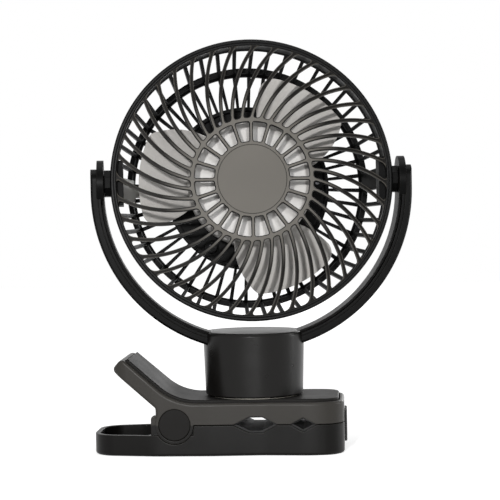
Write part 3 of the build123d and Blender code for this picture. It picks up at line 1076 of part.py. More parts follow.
if __name__ == "__main__":
    os.makedirs("parts", exist_ok=True)
    for pieces, place in ((CLIP_PIECES, ON_CLIP), (POST_PIECES, ON_POST), (HEAD_PIECES, ON_HEAD)):
        for make in pieces:
            write(make.__name__, make(), place)
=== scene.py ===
import json
from math import acos, asin, atan2, cos, degrees, hypot, pi, radians, sin

import bmesh
import bpy
from mathutils import Matrix, Vector
from mathutils.geometry import delaunay_2d_cdt


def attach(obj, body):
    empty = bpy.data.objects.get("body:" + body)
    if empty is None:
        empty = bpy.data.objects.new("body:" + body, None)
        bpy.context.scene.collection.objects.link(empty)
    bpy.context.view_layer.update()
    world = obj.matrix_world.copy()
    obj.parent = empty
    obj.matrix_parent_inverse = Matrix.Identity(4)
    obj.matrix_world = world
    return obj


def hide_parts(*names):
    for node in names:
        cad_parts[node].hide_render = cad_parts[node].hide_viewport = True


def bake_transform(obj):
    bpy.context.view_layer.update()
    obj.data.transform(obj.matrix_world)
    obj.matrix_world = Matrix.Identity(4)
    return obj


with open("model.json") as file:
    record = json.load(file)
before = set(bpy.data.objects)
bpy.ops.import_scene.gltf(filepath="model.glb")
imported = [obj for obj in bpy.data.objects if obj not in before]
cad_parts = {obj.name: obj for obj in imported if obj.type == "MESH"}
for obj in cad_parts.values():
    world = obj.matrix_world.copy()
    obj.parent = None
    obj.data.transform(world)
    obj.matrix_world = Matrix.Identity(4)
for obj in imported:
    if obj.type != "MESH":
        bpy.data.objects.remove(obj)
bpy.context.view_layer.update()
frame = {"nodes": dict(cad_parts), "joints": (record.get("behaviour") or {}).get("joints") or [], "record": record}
nodes = frame["nodes"]
joints = {joint["name"]: joint for joint in frame["joints"]}

MM = 0.001

# ------------------------------------------------------------------ camera
CAMERA_AT = (0.05216, -0.97543, 0.13689)        # metres, fitted to the photograph's ellipses and pivots
CAMERA_TURN = radians(3.13)                     # to the left of straight ahead
CAMERA_DIP = radians(1.67)
CAMERA_ROLL = radians(1.0)
LENS, SENSOR = 129.6, 36.0                      # mm

# ------------------------------------------------------------------ floor, backdrop and light, in metres
FLOOR_HALF = 1.8                                # half the floor's side
FLOOR_FADE = (0.2, 1.2)                         # distances from the object between which its glow grows
FLOOR_GLOW = (0.68, 0.95)                       # the glow at these two distances
WORLD_FILL = 0.09                               # strength of the backdrop where it lights the object
LAMPS_AIM = (0.0, 0.0, 0.12)
LAMPS = {                                       # place, width, height, and power in watts
    "key": ((-0.17, -1.6, 0.40), 0.06, 0.06, 17.5),
    "strip": ((0.24, -1.5, 0.20), 0.10, 0.7, 6.5),
    "right_strip": ((1.0, 0.22, 0.20), 0.12, 0.7, 3.5),
    "back": ((0.6, 1.5, 0.4), 0.7, 0.5, 3.5),
    "top": ((0.0, 0.0, 1.2), 0.8, 0.7, 5.5),
}

# ------------------------------------------------------------------ the head at rest
SWIVEL, TILT = radians(6.0), radians(5.0)
PIVOT = joints["tilt"]["pos_m"]
HEAD_TURN = Matrix.Rotation(SWIVEL, 4, "Z") @ Matrix.Rotation(-TILT, 4, "X")
HEAD = Matrix.Translation(PIVOT) @ HEAD_TURN @ Matrix.Scale(MM, 4)
FAN_AXIS = HEAD_TURN @ Vector((0, 1, 0))

# ------------------------------------------------------------------ the spring, in millimetres
HINGE_X, _, HINGE_Z = [value / MM for value in joints["jaw_open"]["pos_m"]]
WIRE_R, COIL_R, HALF_TURNS = 0.9, 4.25, 7
CLIMB, END_CLIMB = 1.3, 2.5                     # along the pin per half turn, and in the first and the last
COIL_HALF = END_CLIMB + CLIMB * (HALF_TURNS - 2) / 2            # from the coil's middle to each leg
SPRING_FOOT, SPRING_GRIP = (-27.0, -12.0), (-18.87, 19.06)      # ends of the legs, from the hinge
COIL_STEP, LEG_STEPS, WIRE_SIDES = radians(7.5), 14, 18
CUT_R, CUT_LONG = 0.72 * WIRE_R, 0.25 * WIRE_R  # radius of a cut end, and the length over which it narrows

# ------------------------------------------------------------------ the front guard, in millimetres
FACE_Y, FLAT_R, RIM_Y, FACE_THICK = -14.0, 32.0, -10.1, 3.0     # its face is flat to FLAT_R and then dished
DISC_R, RING_IN, RING_OUT, RIM_IN, RIM_OUT = 20.4, 30.8, 33.3, 72.7, 76.0
SPOKES, RIBS, RIB_HALF = 20, 40, 1.0
RIB_RADII, RIB_ANGLES = (34.0, 54.0, 72.3), (1.2, 10.6, 20.2)   # three points on the first rib, mm and deg
RIM_CORNER, RING_CORNER, SPOKE_CORNER = 2.6, 1.25, 1.0          # reach of the windows' eased corners
WINDOW_ROUND, JOINT_ROUND, BACKING_ROUND = 0.45, 0.12, 0.1      # roundings of the plates' edges
PLUG_R, PLUG_GAP, PLUG_THIN = 18.5, 0.12, 0.2   # the plug in the disc, its joint line, its shallower back
BACKING_R, BACKING_THICK = DISC_R - 0.6, FACE_THICK - 0.6       # the plate that closes the joint line
PLATE_R, PLATE_ROUND = 73.45, 0.2               # where the face ends, inside the rim
LIP_Y, LIP_SLOPE, RIM_CHAMFER, RIM_EASE = -10.6, 0.35, 0.7, 0.16        # the rim's front and its corners
GROOVE_IN, GROOVE_OUT, GROOVE_Y = 73.9, 74.3, -10.05            # radii of the groove's sides, and its bottom
RIM_BACK_Y, SPIGOT_R, SPIGOT_Y = -7.6, 73.5, -5.6               # the spigot seats in the bowl
EDGE_BANDS, CORNER_STEPS, RIB_STEPS = 3, 5, 32  # faces across a rounding, round a corner and along a rib
DISC_STEPS, RIM_STEPS = 120, 240                # round the disc's circles, and round the rim

# ------------------------------------------------------------------ numbers that nodes and calls take
COLOUR_A, COLOUR_B, COLOUR_OUT = 6, 7, 2        # places of the colour sockets on a Mix node
NOISE_BAND = (0.3, 0.7)                         # the range that most of a noise's values fill
HULL_TRIANGLES, SAME_POINT = 0, 1e-5            # the triangulation's kind, and its tolerance


# ------------------------------------------------------------------ node trees
def srgb(value):
    """One 0-255 display level as the linear number that a shader takes."""
    level = value / 255
    return level / 12.92 if level <= 0.04045 else ((level + 0.055) / 1.055) ** 2.4


def colour(red, green, blue):
    return srgb(red), srgb(green), srgb(blue), 1.0


class Tree:
    """A node tree with short calls for the nodes that its users share."""

    def __init__(self, tree):
        self.tree = tree

    def node(self, kind, **settings):
        made = self.tree.nodes.new(kind)
        for key, value in settings.items():
            setattr(made, key, value)
        return made

    def feed(self, source, target):
        """Connect an output, or set a plain value, on an input."""
        if isinstance(source, bpy.types.NodeSocket):
            self.tree.links.new(source, target)
        else:
            target.default_value = source

    def spread(self, value, low, high, to_low=0.0, to_high=1.0):
        """Map a range of a value to another range, held at its ends."""
        made = self.node("ShaderNodeMapRange")
        for key, number in zip(("Value", "From Min", "From Max", "To Min", "To Max"),
                               (value, low, high, to_low, to_high)):
            self.feed(number, made.inputs[key])
        return made.outputs["Result"]

    def maths(self, operation, a, b):
        made = self.node("ShaderNodeMath", operation=operation)
        self.feed(a, made.inputs[0])
        self.feed(b, made.inputs[1])
        return made.outputs[0]

    def seen_directly(self):
        """1 for what the camera, a reflection or a clear part sees, and 0 for what lights the object."""
        path = self.node("ShaderNodeLightPath").outputs
        seen = self.maths("MAXIMUM", path["Is Camera Ray"], path["Is Glossy Ray"])
        return self.maths("MAXIMUM", seen, path["Is Transmission Ray"])


class Sheet(Tree):
    """A new material's node tree, with calls for its colour, roughness and relief."""

    def __init__(self, name):
        self.material = bpy.data.materials.new(name)
        self.material.use_nodes = True
        super().__init__(self.material.node_tree)
        self.shader = self.tree.nodes["Principled BSDF"]
        self.place = self.node("ShaderNodeTexCoord").outputs["Object"]

    def set(self, **values):
        """Set or feed the main shader's sockets; an underscore in a name stands for a space."""
        for key, value in values.items():
            self.feed(value, self.shader.inputs[key.replace("_", " ")])

    def noise(self, size, detail=3.0, roughness=0.5):
        """Noise with features of about size metres."""
        made = self.node("ShaderNodeTexNoise")
        self.feed(self.place, made.inputs["Vector"])
        made.inputs["Scale"].default_value = 1 / size
        made.inputs["Detail"].default_value = detail
        made.inputs["Roughness"].default_value = roughness
        return made.outputs["Fac"]

    def drift(self, size, low=0.0, high=1.0, detail=3.0):
        """A value that drifts between low and high over about size metres."""
        return self.spread(self.noise(size, detail), *NOISE_BAND, low, high)

    def mix(self, factor, a, b):
        """Mix two colours."""
        made = self.node("ShaderNodeMix", data_type="RGBA")
        self.feed(factor, made.inputs["Factor"])
        self.feed(a, made.inputs[COLOUR_A])
        self.feed(b, made.inputs[COLOUR_B])
        return made.outputs[COLOUR_OUT]

    def vectors(self, operation, a, b):
        """The node of a vector operation on two vectors."""
        made = self.node("ShaderNodeVectorMath", operation=operation)
        self.feed(a, made.inputs[0])
        self.feed(b, made.inputs[1])
        return made

    def length(self, vector):
        made = self.node("ShaderNodeVectorMath", operation="LENGTH")
        self.feed(vector, made.inputs[0])
        return made.outputs["Value"]

    def rounded(self, radius):
        """The surface's direction with its sharp edges rounded off by radius."""
        made = self.node("ShaderNodeBevel", samples=6)
        made.inputs["Radius"].default_value = radius
        return made.outputs["Normal"]

    def bump(self, height, depth, strength, base=None):
        made = self.node("ShaderNodeBump")
        made.inputs["Strength"].default_value = strength
        made.inputs["Distance"].default_value = depth
        self.feed(height, made.inputs["Height"])
        if base is not None:
            self.feed(base, made.inputs["Normal"])
        return made.outputs["Normal"]

    def edge(self, radius):
        """About 1 along sharp edges and 0 on flat stretches."""
        plain = self.node("ShaderNodeNewGeometry").outputs["Normal"]
        alike = self.vectors("DOT_PRODUCT", self.rounded(radius), plain).outputs["Value"]
        return self.spread(self.maths("SUBTRACT", 1.0, alike), low=0.02, high=0.25)


# ------------------------------------------------------------------ materials
def moulded_plastic(name, base, worn_and_highlit, rough=0.42, shine=0.1, edge=0.0004, tint=None):
    """Moulded plastic: a fine spark-eroded grain, faint flow clouds and edges polished by handling, whose lighter
    colour is partly wear and partly a painted highlight.
    """
    s = Sheet(name)
    grain = s.noise(0.00022, detail=2.0, roughness=0.6)
    handled = s.spread(s.noise(0.004, detail=4.0, roughness=0.65), 0.35, 0.65, 0.25, 1.0)
    # Sharp edges turn to a lighter colour: partly wear, partly a painted highlight along the edges
    edges = s.maths("MULTIPLY", s.edge(edge * 1.4), handled)
    wear_and_highlight, polish = s.maths("MULTIPLY", edges, 0.55), s.maths("MULTIPLY", edges, 0.08)
    plain = s.mix(s.drift(0.035, detail=2.0), colour(*base), colour(*[level * 1.05 for level in base]))
    if tint is not None:
        plain = tint(s, plain)
    s.set(Base_Color=s.mix(wear_and_highlight, plain, colour(*worn_and_highlit)),
          Roughness=s.maths("SUBTRACT", s.drift(0.012, rough - 0.03, rough + 0.04), polish),
          Specular_IOR_Level=shine,
          Normal=s.bump(grain, depth=0.000008, strength=0.8, base=s.rounded(edge)))
    return s.material


def painted_light_above(height, shade, soft=0.0004):
    """A tint of painted light: above a height the colour turns to a lighter shade, painted where the upper jaw
    catches more light than the lower.
    """
    def tint(s, plain):
        parts = s.node("ShaderNodeSeparateXYZ")
        s.feed(s.place, parts.inputs[0])
        above = s.spread(parts.outputs["Z"], height - soft, height + soft)
        return s.mix(above, plain, colour(*shade))
    return tint


def painted_light_by_radius(near, far, shade):
    """A tint of painted light: it fades to another shade between two distances from the fan's axis, for the
    reflection and shade that the guard's face takes as it tilts.
    """
    def tint(s, plain):
        from_pivot = s.vectors("SUBTRACT", s.place, PIVOT).outputs["Vector"]
        across = s.vectors("CROSS_PRODUCT", from_pivot, FAN_AXIS).outputs["Vector"]
        return s.mix(s.spread(s.length(across), near, far), plain, colour(*shade))
    return tint


def glossy_plastic(name, base, shade):
    """Smooth plastic with slight flow marks."""
    s = Sheet(name)
    s.set(Base_Color=s.mix(s.drift(0.02, detail=2.0), colour(*base), colour(*shade)),
          Roughness=s.drift(0.009, 0.24, 0.32),
          Normal=s.bump(s.noise(0.0016), depth=0.000012, strength=0.35, base=s.rounded(0.0005)))
    return s.material


def rubber(name, base):
    """Soft matt rubber with a dusty, slightly pitted skin."""
    s = Sheet(name)
    dust = s.noise(0.006, detail=5.0, roughness=0.7)
    dusty = s.spread(dust, 0.45, 0.7, 0.0, 0.6)
    pits = s.noise(0.0004, roughness=0.6)
    s.set(Base_Color=s.mix(dusty, colour(*base), colour(*[level + 12 for level in base])),
          Roughness=s.spread(dust, *NOISE_BAND, 0.68, 0.82),
          Normal=s.bump(pits, depth=0.00002, strength=0.8, base=s.rounded(0.0003)))
    return s.material


def metal(name, base, rough):
    """Plated or drawn steel with fine lines and faint tarnish."""
    s = Sheet(name)
    tarnish = s.noise(0.005, detail=4.0, roughness=0.6)
    dulled = s.spread(tarnish, 0.4, 0.7, 0.0, 0.5)
    lines = s.noise(0.0006, detail=2.0)
    s.set(Base_Color=s.mix(dulled, colour(*base), colour(*[level * 0.8 for level in base])),
          Metallic=1.0,
          Roughness=s.spread(tarnish, *NOISE_BAND, rough - 0.06, rough + 0.1),
          Normal=s.bump(lines, depth=0.00001, strength=0.5, base=s.rounded(0.0002)))
    return s.material


def circuit_board(name):
    """Green solder mask with faint tracks."""
    s = Sheet(name)
    tracks = s.node("ShaderNodeTexBrick")
    s.feed(s.place, tracks.inputs["Vector"])
    tracks.inputs["Scale"].default_value = 260.0
    tracks.inputs["Mortar Size"].default_value = 0.04
    tracks.inputs["Color1"].default_value = colour(16, 82, 42)
    tracks.inputs["Color2"].default_value = colour(20, 92, 50)
    tracks.inputs["Mortar"].default_value = colour(46, 128, 78)
    s.set(Base_Color=tracks.outputs["Color"], Roughness=0.38)
    return s.material


def winding(name):
    """Enamelled copper wire laid side by side."""
    s = Sheet(name)
    wires = s.node("ShaderNodeTexWave", wave_type="BANDS", bands_direction="DIAGONAL")
    s.feed(s.place, wires.inputs["Vector"])
    wires.inputs["Scale"].default_value = 900.0
    raised = wires.outputs["Fac"]
    s.set(Base_Color=s.mix(raised, colour(120, 52, 22), colour(196, 104, 48)),
          Metallic=0.9,
          Roughness=0.32,
          Normal=s.bump(raised, depth=0.00008, strength=0.7))
    return s.material


def clear_rod(name):
    """Clear plastic that carries light, a little cloudy."""
    s = Sheet(name)
    s.set(Base_Color=s.mix(s.noise(0.002), colour(226, 232, 236), colour(208, 216, 222)),
          Roughness=0.12,
          Transmission_Weight=0.6,
          Normal=s.bump(s.noise(0.0008), depth=0.00001, strength=0.3))
    return s.material


CLIP_PAINTED_LIGHT_Z = 0.0165                           # metres; above it the clip's colour is painted lighter, for the light that its upper jaw catches
FACE_PAINTED_FADE, EDGE_PAINTED_FADE = (0.033, 0.05), (0.045, 0.066)            # metres from the fan's axis, over which the guard's painted sheen darkens and its painted edge highlights brighten

# Each slot's finish, and the two that the front guard has besides its slot's, which paint light and shade on its
# front and its front edges
FINISHES = {
    # The clip: dark plastic, painted a lighter shade on its upper jaw for the light that falls there
    "clip_plastic": (moulded_plastic, dict(base=(10, 9, 8), worn_and_highlit=(66, 63, 58), rough=0.36, shine=0.13,
                                           edge=0.0006, tint=painted_light_above(CLIP_PAINTED_LIGHT_Z, (52, 50, 47)))),
    "cover_plastic": (moulded_plastic, dict(base=(27, 26, 25), worn_and_highlit=(52, 50, 47), rough=0.46, shine=0.06)),
    "post_plastic": (moulded_plastic, dict(base=(17, 16, 15), worn_and_highlit=(56, 54, 50), rough=0.3, shine=0.17)),
    "yoke_plastic": (moulded_plastic, dict(base=(6, 6, 6), worn_and_highlit=(64, 62, 59), rough=0.36, shine=0.05)),
    "grille_plastic": (moulded_plastic, dict(base=(10, 10, 10), worn_and_highlit=(24, 24, 23), rough=0.36, shine=0.07)),
    # The guard's front: a light colour painted as the lamps' reflection near the middle, fading outwards to
    # painted shade
    "guard_face_painted_sheen": (moulded_plastic, dict(base=(101, 98, 93), worn_and_highlit=(94, 91, 86), shine=0.05,
                                         tint=painted_light_by_radius(*FACE_PAINTED_FADE, (20, 19, 18)))),
    # The guard's front edges: dark near the middle, with painted highlight lines further out
    "guard_edge_painted_highlight": (moulded_plastic, dict(base=(10, 10, 10), worn_and_highlit=(24, 24, 23), rough=0.36, shine=0.07,
                                         tint=painted_light_by_radius(*EDGE_PAINTED_FADE, (72, 69, 64)))),
    "bowl_plastic": (moulded_plastic, dict(base=(7, 7, 7), worn_and_highlit=(12, 12, 12), shine=0.04)),
    "button_plastic": (moulded_plastic, dict(base=(40, 39, 38), worn_and_highlit=(60, 58, 56), rough=0.34)),
    "pale_plastic": (moulded_plastic, dict(base=(176, 175, 171), worn_and_highlit=(196, 195, 192), rough=0.48,
                                           shine=0.3)),
    "impeller_plastic": (glossy_plastic, dict(base=(180, 177, 173), shade=(175, 172, 168))),
    "nylon": (moulded_plastic, dict(base=(214, 210, 198), worn_and_highlit=(228, 225, 214), rough=0.4)),
    "rubber_pad": (rubber, dict(base=(22, 22, 22))),
    "steel": (metal, dict(base=(78, 78, 80), rough=0.4)),
    "spring_steel": (metal, dict(base=(150, 150, 152), rough=0.26)),
    "motor_metal": (metal, dict(base=(176, 177, 178), rough=0.34)),
    "magnet": (metal, dict(base=(60, 60, 62), rough=0.5)),
    "copper": (winding, {}),
    "battery_wrap": (glossy_plastic, dict(base=(38, 92, 156), shade=(34, 84, 146))),
    "board": (circuit_board, {}),
    "light_pipe": (clear_rod, {}),
}
MATERIALS = {name: make(name, **look) for name, (make, look) in FINISHES.items()}


def dress(piece, *finishes):
    """Give a piece the materials of its finishes, and no others."""
    piece.data.materials.clear()
    for finish in finishes:
        piece.data.materials.append(MATERIALS[finish])


for entry in frame["record"]["subparts"]:
    dress(nodes[entry["node"]], entry["material_slot"])


# ------------------------------------------------------------------ meshes
def add_object(name, data):
    made = bpy.data.objects.new(name, data)
    bpy.context.scene.collection.objects.link(made)
    return made


def add_mesh(name, points, faces):
    mesh = bpy.data.meshes.new(name)
    mesh.from_pydata(points, [], faces)
    return add_object(name, mesh)


def ring_faces(rings, sides, closed=False):
    """Quads between rings of points that follow each other."""
    faces = []
    for ring in range(rings if closed else rings - 1):
        here, after = ring * sides, (ring + 1) % rings * sides
        for side in range(sides):
            onward = (side + 1) % sides
            faces.append((here + side, here + onward, after + onward, after + side))
    return faces


def turn_outward(piece):
    """Turn all faces of a closed mesh outward."""
    work = bmesh.new()
    work.from_mesh(piece.data)
    bmesh.ops.recalc_face_normals(work, faces=work.faces)
    work.to_mesh(piece.data)
    work.free()


def smooth(piece):
    """Smooth shading that keeps broad faces flat."""
    piece.data.shade_smooth()
    piece.modifiers.new("even_normals", "WEIGHTED_NORMAL").keep_sharp = True


# ------------------------------------------------------------------ the clip's spring
def around_pin(angle, y):
    return Vector((HINGE_X + COIL_R * cos(angle), y, HINGE_Z + COIL_R * sin(angle)))


def tangent_from(point, turn):
    """Where a line from a point touches the coil, as an angle round the pin."""
    return atan2(point[1], point[0]) + turn * acos(COIL_R / hypot(*point))


def eased_climb(part):
    """The climb in an end's half turn, which starts level and ends with the slope of the turns between."""
    return END_CLIMB * (3 * part ** 2 - 2 * part ** 3) + CLIMB * (part ** 3 - part ** 2)


def spring_line():
    """The wire's centre line: a leg in the tray, smoothly climbing coils and a leg under the handle."""
    low, high = tangent_from(SPRING_FOOT, 1), tangent_from(SPRING_GRIP, -1)
    first = pi / 2                              # where the climb starts
    finish = high + 2 * pi * round((first + HALF_TURNS * pi + pi / 2 - high) / (2 * pi))
    steps = round((finish - low) / COIL_STEP)
    coil = []
    for step in range(steps + 1):
        angle = low + (finish - low) * step / steps
        turns = min(max((angle - first) / pi, 0.0), HALF_TURNS)
        if turns < 1:
            y = -COIL_HALF + eased_climb(turns)
        elif turns > HALF_TURNS - 1:
            y = COIL_HALF - eased_climb(HALF_TURNS - turns)
        else:
            y = -COIL_HALF + END_CLIMB + CLIMB * (turns - 1)
        coil.append(around_pin(angle, y))
    foot = Vector((HINGE_X + SPRING_FOOT[0], -COIL_HALF, HINGE_Z + SPRING_FOOT[1]))
    grip = Vector((HINGE_X + SPRING_GRIP[0], COIL_HALF, HINGE_Z + SPRING_GRIP[1]))
    parts = [step / LEG_STEPS for step in range(LEG_STEPS)]
    first_leg = [foot.lerp(coil[0], part) for part in parts]
    last_leg = [grip.lerp(coil[-1], part) for part in reversed(parts)]
    return first_leg + coil + last_leg


def round_wire(name, line):
    """A wire along a line of points, with its cut ends broken."""
    last = len(line) - 1
    ways = [(line[min(i + 1, last)] - line[max(i - 1, 0)]).normalized() for i in range(last + 1)]
    stations = [(at, way, WIRE_R) for at, way in zip(line, ways)]
    stations[0] = (line[0] + ways[0] * CUT_LONG, ways[0], WIRE_R)
    stations[-1] = (line[-1] - ways[-1] * CUT_LONG, ways[-1], WIRE_R)
    stations = [(line[0], ways[0], CUT_R)] + stations + [(line[-1], ways[-1], CUT_R)]
    side = ways[0].orthogonal().normalized()
    points = []
    for at, way, radius in stations:
        side = (side - way * side.dot(way)).normalized()
        other = way.cross(side)
        for i in range(WIRE_SIDES):
            turn = 2 * pi * i / WIRE_SIDES
            points.append((at + (side * cos(turn) + other * sin(turn)) * radius) * MM)
    start = tuple(reversed(range(WIRE_SIDES)))
    end = tuple(range(len(points) - WIRE_SIDES, len(points)))
    return add_mesh(name, points, ring_faces(len(stations), WIRE_SIDES) + [start, end])


spring = round_wire("spring_wire", spring_line())
smooth(spring)
dress(spring, "spring_steel")
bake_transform(spring)
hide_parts("clip_spring")


# ------------------------------------------------------------------ outlines, seen from the head's front
def polar(radius, clockwise):
    """x and z on the head, with the angle in degrees clockwise from the top."""
    return Vector((radius * sin(radians(clockwise)), radius * cos(radians(clockwise))))


def angle_of(point):
    return degrees(atan2(point.x, point.y))


def turned(points, clockwise):
    return [polar(point.length, angle_of(point) + clockwise) for point in points]


def arc(radius, start, end, steps):
    return [polar(radius, start + (end - start) * i / steps) for i in range(steps + 1)]


def circle(radius, steps):
    return [polar(radius, 360 * i / steps) for i in range(steps)]


def circle_through(p, q, r):
    """Centre and radius of the circle through three points."""
    d = 2 * (p.x * (q.y - r.y) + q.x * (r.y - p.y) + r.x * (p.y - q.y))
    sp, sq, sr = p.length_squared, q.length_squared, r.length_squared
    centre = Vector((sp * (q.y - r.y) + sq * (r.y - p.y) + sr * (p.y - q.y),
                     sp * (r.x - q.x) + sq * (p.x - r.x) + sr * (q.x - p.x))) / d
    return centre, (centre - p).length


def shortened(side, first, last):
    """A line of points that loses one length at its start and another at its end."""
    for left in (first, last):
        while (side[1] - side[0]).length < left:
            left -= (side[1] - side[0]).length
            side = side[1:]
        side = [side[0].lerp(side[1], left / (side[1] - side[0]).length)] + side[1:]
        side = side[::-1]
    return side


def eased_corners(sides, reaches):
    """A closed outline from sides that meet end to end; the corner at each side's end turns into a curve."""
    cut = [shortened(side, reaches[i - 1], reaches[i]) for i, side in enumerate(sides)]
    outline = []
    for i, side in enumerate(cut):
        corner, onward = sides[i][-1], cut[(i + 1) % len(cut)][0]
        outline += side
        for t in [step / CORNER_STEPS for step in range(1, CORNER_STEPS)]:
            outline.append(side[-1] * (1 - t) ** 2 + corner * 2 * t * (1 - t) + onward * t ** 2)
    return outline


def rib_side(side):
    """A side of the first rib (+1 clockwise of its middle, -1 the other), from the inner ring to the rim."""
    centre, sweep = circle_through(*[polar(*place) for place in zip(RIB_RADII, RIB_ANGLES)])
    middle = polar(RIB_RADII[1], RIB_ANGLES[1])
    clockwise = polar(1.0, RIB_ANGLES[1] + 90)
    inward = 1 if (centre - middle).dot(clockwise) > 0 else -1
    radius = sweep - side * inward * RIB_HALF
    points = []
    for i in range(RIB_STEPS + 1):
        r = RING_OUT + (RIM_IN - RING_OUT) * i / RIB_STEPS
        turn = degrees(acos((r ** 2 + centre.length_squared - radius ** 2) / (2 * r * centre.length)))
        points.append(polar(r, angle_of(centre) - inward * turn))
    return points


def rib_window():
    """The opening between the first rib and the next."""
    near, far = rib_side(1), turned(rib_side(-1), 360 / RIBS)
    outer = arc(RIM_IN, angle_of(near[-1]), angle_of(far[-1]), steps=5)
    inner = arc(RING_OUT, angle_of(far[0]), angle_of(near[0]), steps=4)
    return eased_corners([near, outer, far[::-1], inner], [RIM_CORNER] * 2 + [RING_CORNER] * 2)


def spoke_window():
    """The opening between the first spoke and the next."""
    pitch = 360 / SPOKES
    slim, wide = [degrees(asin(RIB_HALF / r)) for r in (RING_IN, DISC_R)]
    near = [polar(DISC_R, wide), polar(RING_IN, slim)]
    outer = arc(RING_IN, slim, pitch - slim, steps=6)
    far = [polar(RING_IN, pitch - slim), polar(DISC_R, pitch - wide)]
    inner = arc(DISC_R, pitch - wide, wide, steps=4)
    return eased_corners([near, outer, far, inner], [SPOKE_CORNER] * 4)


def rim_outline():
    """The rim's section: a lip, a fine groove in it, a chamfered outer edge and the spigot behind."""
    corners = [Vector(corner) for corner in (
        (RIM_IN, RIM_Y), (RIM_IN + LIP_SLOPE, LIP_Y),
        (GROOVE_IN, LIP_Y), (GROOVE_IN, GROOVE_Y), (GROOVE_OUT, GROOVE_Y), (GROOVE_OUT, LIP_Y),
        (RIM_OUT - RIM_CHAMFER, LIP_Y), (RIM_OUT, LIP_Y + RIM_CHAMFER), (RIM_OUT, RIM_BACK_Y),
        (SPIGOT_R, RIM_BACK_Y), (SPIGOT_R, SPIGOT_Y), (RIM_IN, SPIGOT_Y))]
    sides = [[corner, onward] for corner, onward in zip(corners, corners[1:] + corners[:1])]
    return eased_corners(sides, [RIM_EASE] * len(sides))


# ------------------------------------------------------------------ the front guard
def edge_rows(outline, away, thick, round_by):
    """Rows of points over a rounded edge, from the front to the back; away is +1 for holes and -1 outside."""
    count = len(outline)
    ways = [(outline[(i + 1) % count] - outline[i - 1]).normalized() for i in range(count)]
    quarter = [radians(90 * i / EDGE_BANDS) for i in range(EDGE_BANDS + 1)]
    rows = []
    for face, turns in ((1, quarter), (-1, quarter[::-1])):
        for turn in turns:
            inset, drop = away * round_by * (1 - sin(turn)), round_by * (1 - cos(turn))
            level = face * (thick / 2 - drop)
            rows.append([(p.x + way.y * inset, p.y - way.x * inset, level)
                         for p, way in zip(outline, ways)])
    return rows


def counterclockwise(outline):
    area = sum(p.x * q.y - q.x * p.y for p, q in zip(outline, outline[1:] + outline[:1]))
    return outline if area > 0 else outline[::-1]


def filled(loops):
    """Triangles between the first loop of points and the others, as places in all the loops' points."""
    flat = [Vector(point[:2]) for loop in loops for point in loop]
    numbers = iter(range(len(flat)))
    rounds = [[next(numbers) for _ in loop] for loop in loops]
    _, _, faces, came_from, _, inside = delaunay_2d_cdt(flat, [], rounds, HULL_TRIANGLES, SAME_POINT)
    return [[came_from[corner][0] for corner in face]
            for face, loops_around in zip(faces, inside) if loops_around == [0]]


def plate(outlines, thick):
    """A plate from (outline, rounding) pairs, its edge and then its holes: its points, and three lists of
    faces, which are its sides and back, the rounding of its front edges, and its front."""
    points, faces, edges, front_points, back_points, loops = [], [], [], [], [], []
    for place, (outline, round_by) in enumerate(outlines):
        rows = edge_rows(counterclockwise(outline), 1 if place else -1, thick, round_by)
        count = len(outline)
        start, end = len(points), len(points) + count * len(rows)
        sides = [tuple(start + i for i in face) for face in ring_faces(len(rows), count)]
        edges += sides[:EDGE_BANDS * count]
        faces += sides[EDGE_BANDS * count:]
        front_points += range(start, start + count)
        back_points += range(end - count, end)
        loops.append(rows[0])
        points += sum(rows, [])
    triangles = filled(loops)
    faces += [tuple(back_points[i] for i in triangle) for triangle in triangles]
    return points, (faces, edges, [tuple(front_points[i] for i in triangle) for triangle in triangles])


def dish(radius):
    """How the guard's face lies at a radius, as y on the head."""
    part = min(max((radius - FLAT_R) / (RIM_IN - FLAT_R), 0.0), 1.0)
    return FACE_Y + (RIM_Y - FACE_Y) * part


def dished(points, shift):
    """Points of a plate on the head, bent to the dish and moved along the axis by shift."""
    return [(x, dish(hypot(x, y)) + FACE_THICK / 2 + shift - z, y) for x, y, z in points]


def turned_ring(outline):
    """Points and faces of a ring about the fan's axis with a closed (radius, y) outline."""
    points = []
    for i in range(RIM_STEPS):
        turn = 2 * pi * i / RIM_STEPS
        points += [(p.x * sin(turn), p.y, p.x * cos(turn)) for p in outline]
    return points, ring_faces(RIM_STEPS, len(outline), closed=True)


def front_guard():
    """The guard, with rounded ribs, eased window corners and a plug in its middle, and each face's finish:
    0 for the rim, the sides and the back, 1 for the rounding of the front edges, with its painted highlight, and 2
    for the front, with its painted sheen and painted shade."""
    windows = [turned(spoke_window(), 360 / SPOKES * i) for i in range(SPOKES)]
    windows += [turned(rib_window(), 360 / RIBS * i) for i in range(RIBS)]
    face = [(circle(PLATE_R, RIM_STEPS), PLATE_ROUND), (circle(PLUG_R + PLUG_GAP, DISC_STEPS), JOINT_ROUND)]
    face += [(window, WINDOW_ROUND) for window in windows]
    plug = [(circle(PLUG_R, DISC_STEPS), JOINT_ROUND)]
    backing = [(circle(BACKING_R, DISC_STEPS), BACKING_ROUND)]
    points, rim = turned_ring(rim_outline())
    kinds = [rim, [], []]
    for outlines, thick, shift in ((face, FACE_THICK, 0.0), (plug, FACE_THICK - PLUG_THIN, -PLUG_THIN / 2),
                                   (backing, BACKING_THICK, 0.0)):
        plate_points, plate_kinds = plate(outlines, thick)
        for kind, faces in zip(kinds, plate_kinds):
            kind += [tuple(len(points) + i for i in corners) for corners in faces]
        points += dished(plate_points, shift)
    piece = add_mesh("front_guard", [HEAD @ Vector(point) for point in points], sum(kinds, []))
    return piece, [number for number, kind in enumerate(kinds) for _ in kind]


guard, finish_of_faces = front_guard()
turn_outward(guard)
smooth(guard)
# the front edges take the finish with painted highlight lines, and the front the one with painted sheen and shade
dress(guard, "grille_plastic", "guard_edge_painted_highlight", "guard_face_painted_sheen")
guard.data.polygons.foreach_set("material_index", finish_of_faces)
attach(guard, "head")
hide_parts("front_grille")


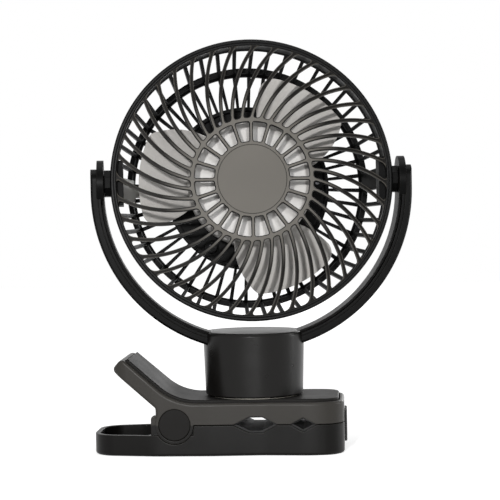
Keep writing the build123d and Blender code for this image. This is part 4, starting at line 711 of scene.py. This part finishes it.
# ------------------------------------------------------------------ floor, backdrop and light
def floor_material():
    """A pale floor that looks nearly white and still takes the object's shadow."""
    s = Sheet("floor")
    s.set(Base_Color=s.mix(s.noise(0.4, detail=2.0), colour(232, 232, 232), colour(228, 228, 228)),
          Roughness=0.9,
          Specular_IOR_Level=0.0)
    level = s.spread(s.length(s.place), *FLOOR_FADE, *FLOOR_GLOW)
    glow = s.node("ShaderNodeEmission")
    s.feed(s.maths("MULTIPLY", s.seen_directly(), level), glow.inputs["Strength"])
    both = s.node("ShaderNodeAddShader")
    s.feed(s.shader.outputs[0], both.inputs[0])
    s.feed(glow.outputs[0], both.inputs[1])
    s.feed(both.outputs[0], s.tree.nodes["Material Output"].inputs["Surface"])
    return s.material


floor_corners = [(x * FLOOR_HALF, y * FLOOR_HALF, 0) for x, y in ((-1, -1), (1, -1), (1, 1), (-1, 1))]
floor = add_mesh("floor", floor_corners, [(0, 1, 2, 3)])
floor.data.materials.append(floor_material())


def studio_world():
    """White where it is seen, and a dim even fill where it lights the object."""
    world = bpy.data.worlds.new("studio")
    bpy.context.scene.world = world
    world.use_nodes = True
    back = Tree(world.node_tree)
    inputs = back.tree.nodes["Background"].inputs
    inputs["Color"].default_value = (1, 1, 1, 1)
    back.feed(back.spread(back.seen_directly(), 0.0, 1.0, WORLD_FILL, 1.0), inputs["Strength"])


def softbox(name, at, wide, tall, power):
    """A rectangular area lamp that is turned to the object's middle."""
    lamp = bpy.data.lights.new(name, "AREA")
    lamp.shape = "RECTANGLE"
    lamp.size, lamp.size_y = wide, tall
    lamp.energy = power
    holder = add_object(name, lamp)
    holder.location = at
    holder.rotation_euler = (Vector(LAMPS_AIM) - Vector(at)).to_track_quat("-Z", "Y").to_euler()


studio_world()
for name, lamp_values in LAMPS.items():
    softbox(name, *lamp_values)


# ------------------------------------------------------------------ camera and output
def add_camera():
    eye = bpy.data.cameras.new("camera")
    eye.lens, eye.sensor_width, eye.sensor_fit = LENS, SENSOR, "HORIZONTAL"
    holder = add_object("camera", eye)
    turn = Matrix.Rotation(CAMERA_TURN, 4, "Z") @ Matrix.Rotation(pi / 2 - CAMERA_DIP, 4, "X")
    holder.matrix_world = Matrix.Translation(CAMERA_AT) @ turn @ Matrix.Rotation(-CAMERA_ROLL, 4, "Z")
    bpy.context.scene.camera = holder


add_camera()
bpy.context.scene.view_settings.view_transform = "Standard"
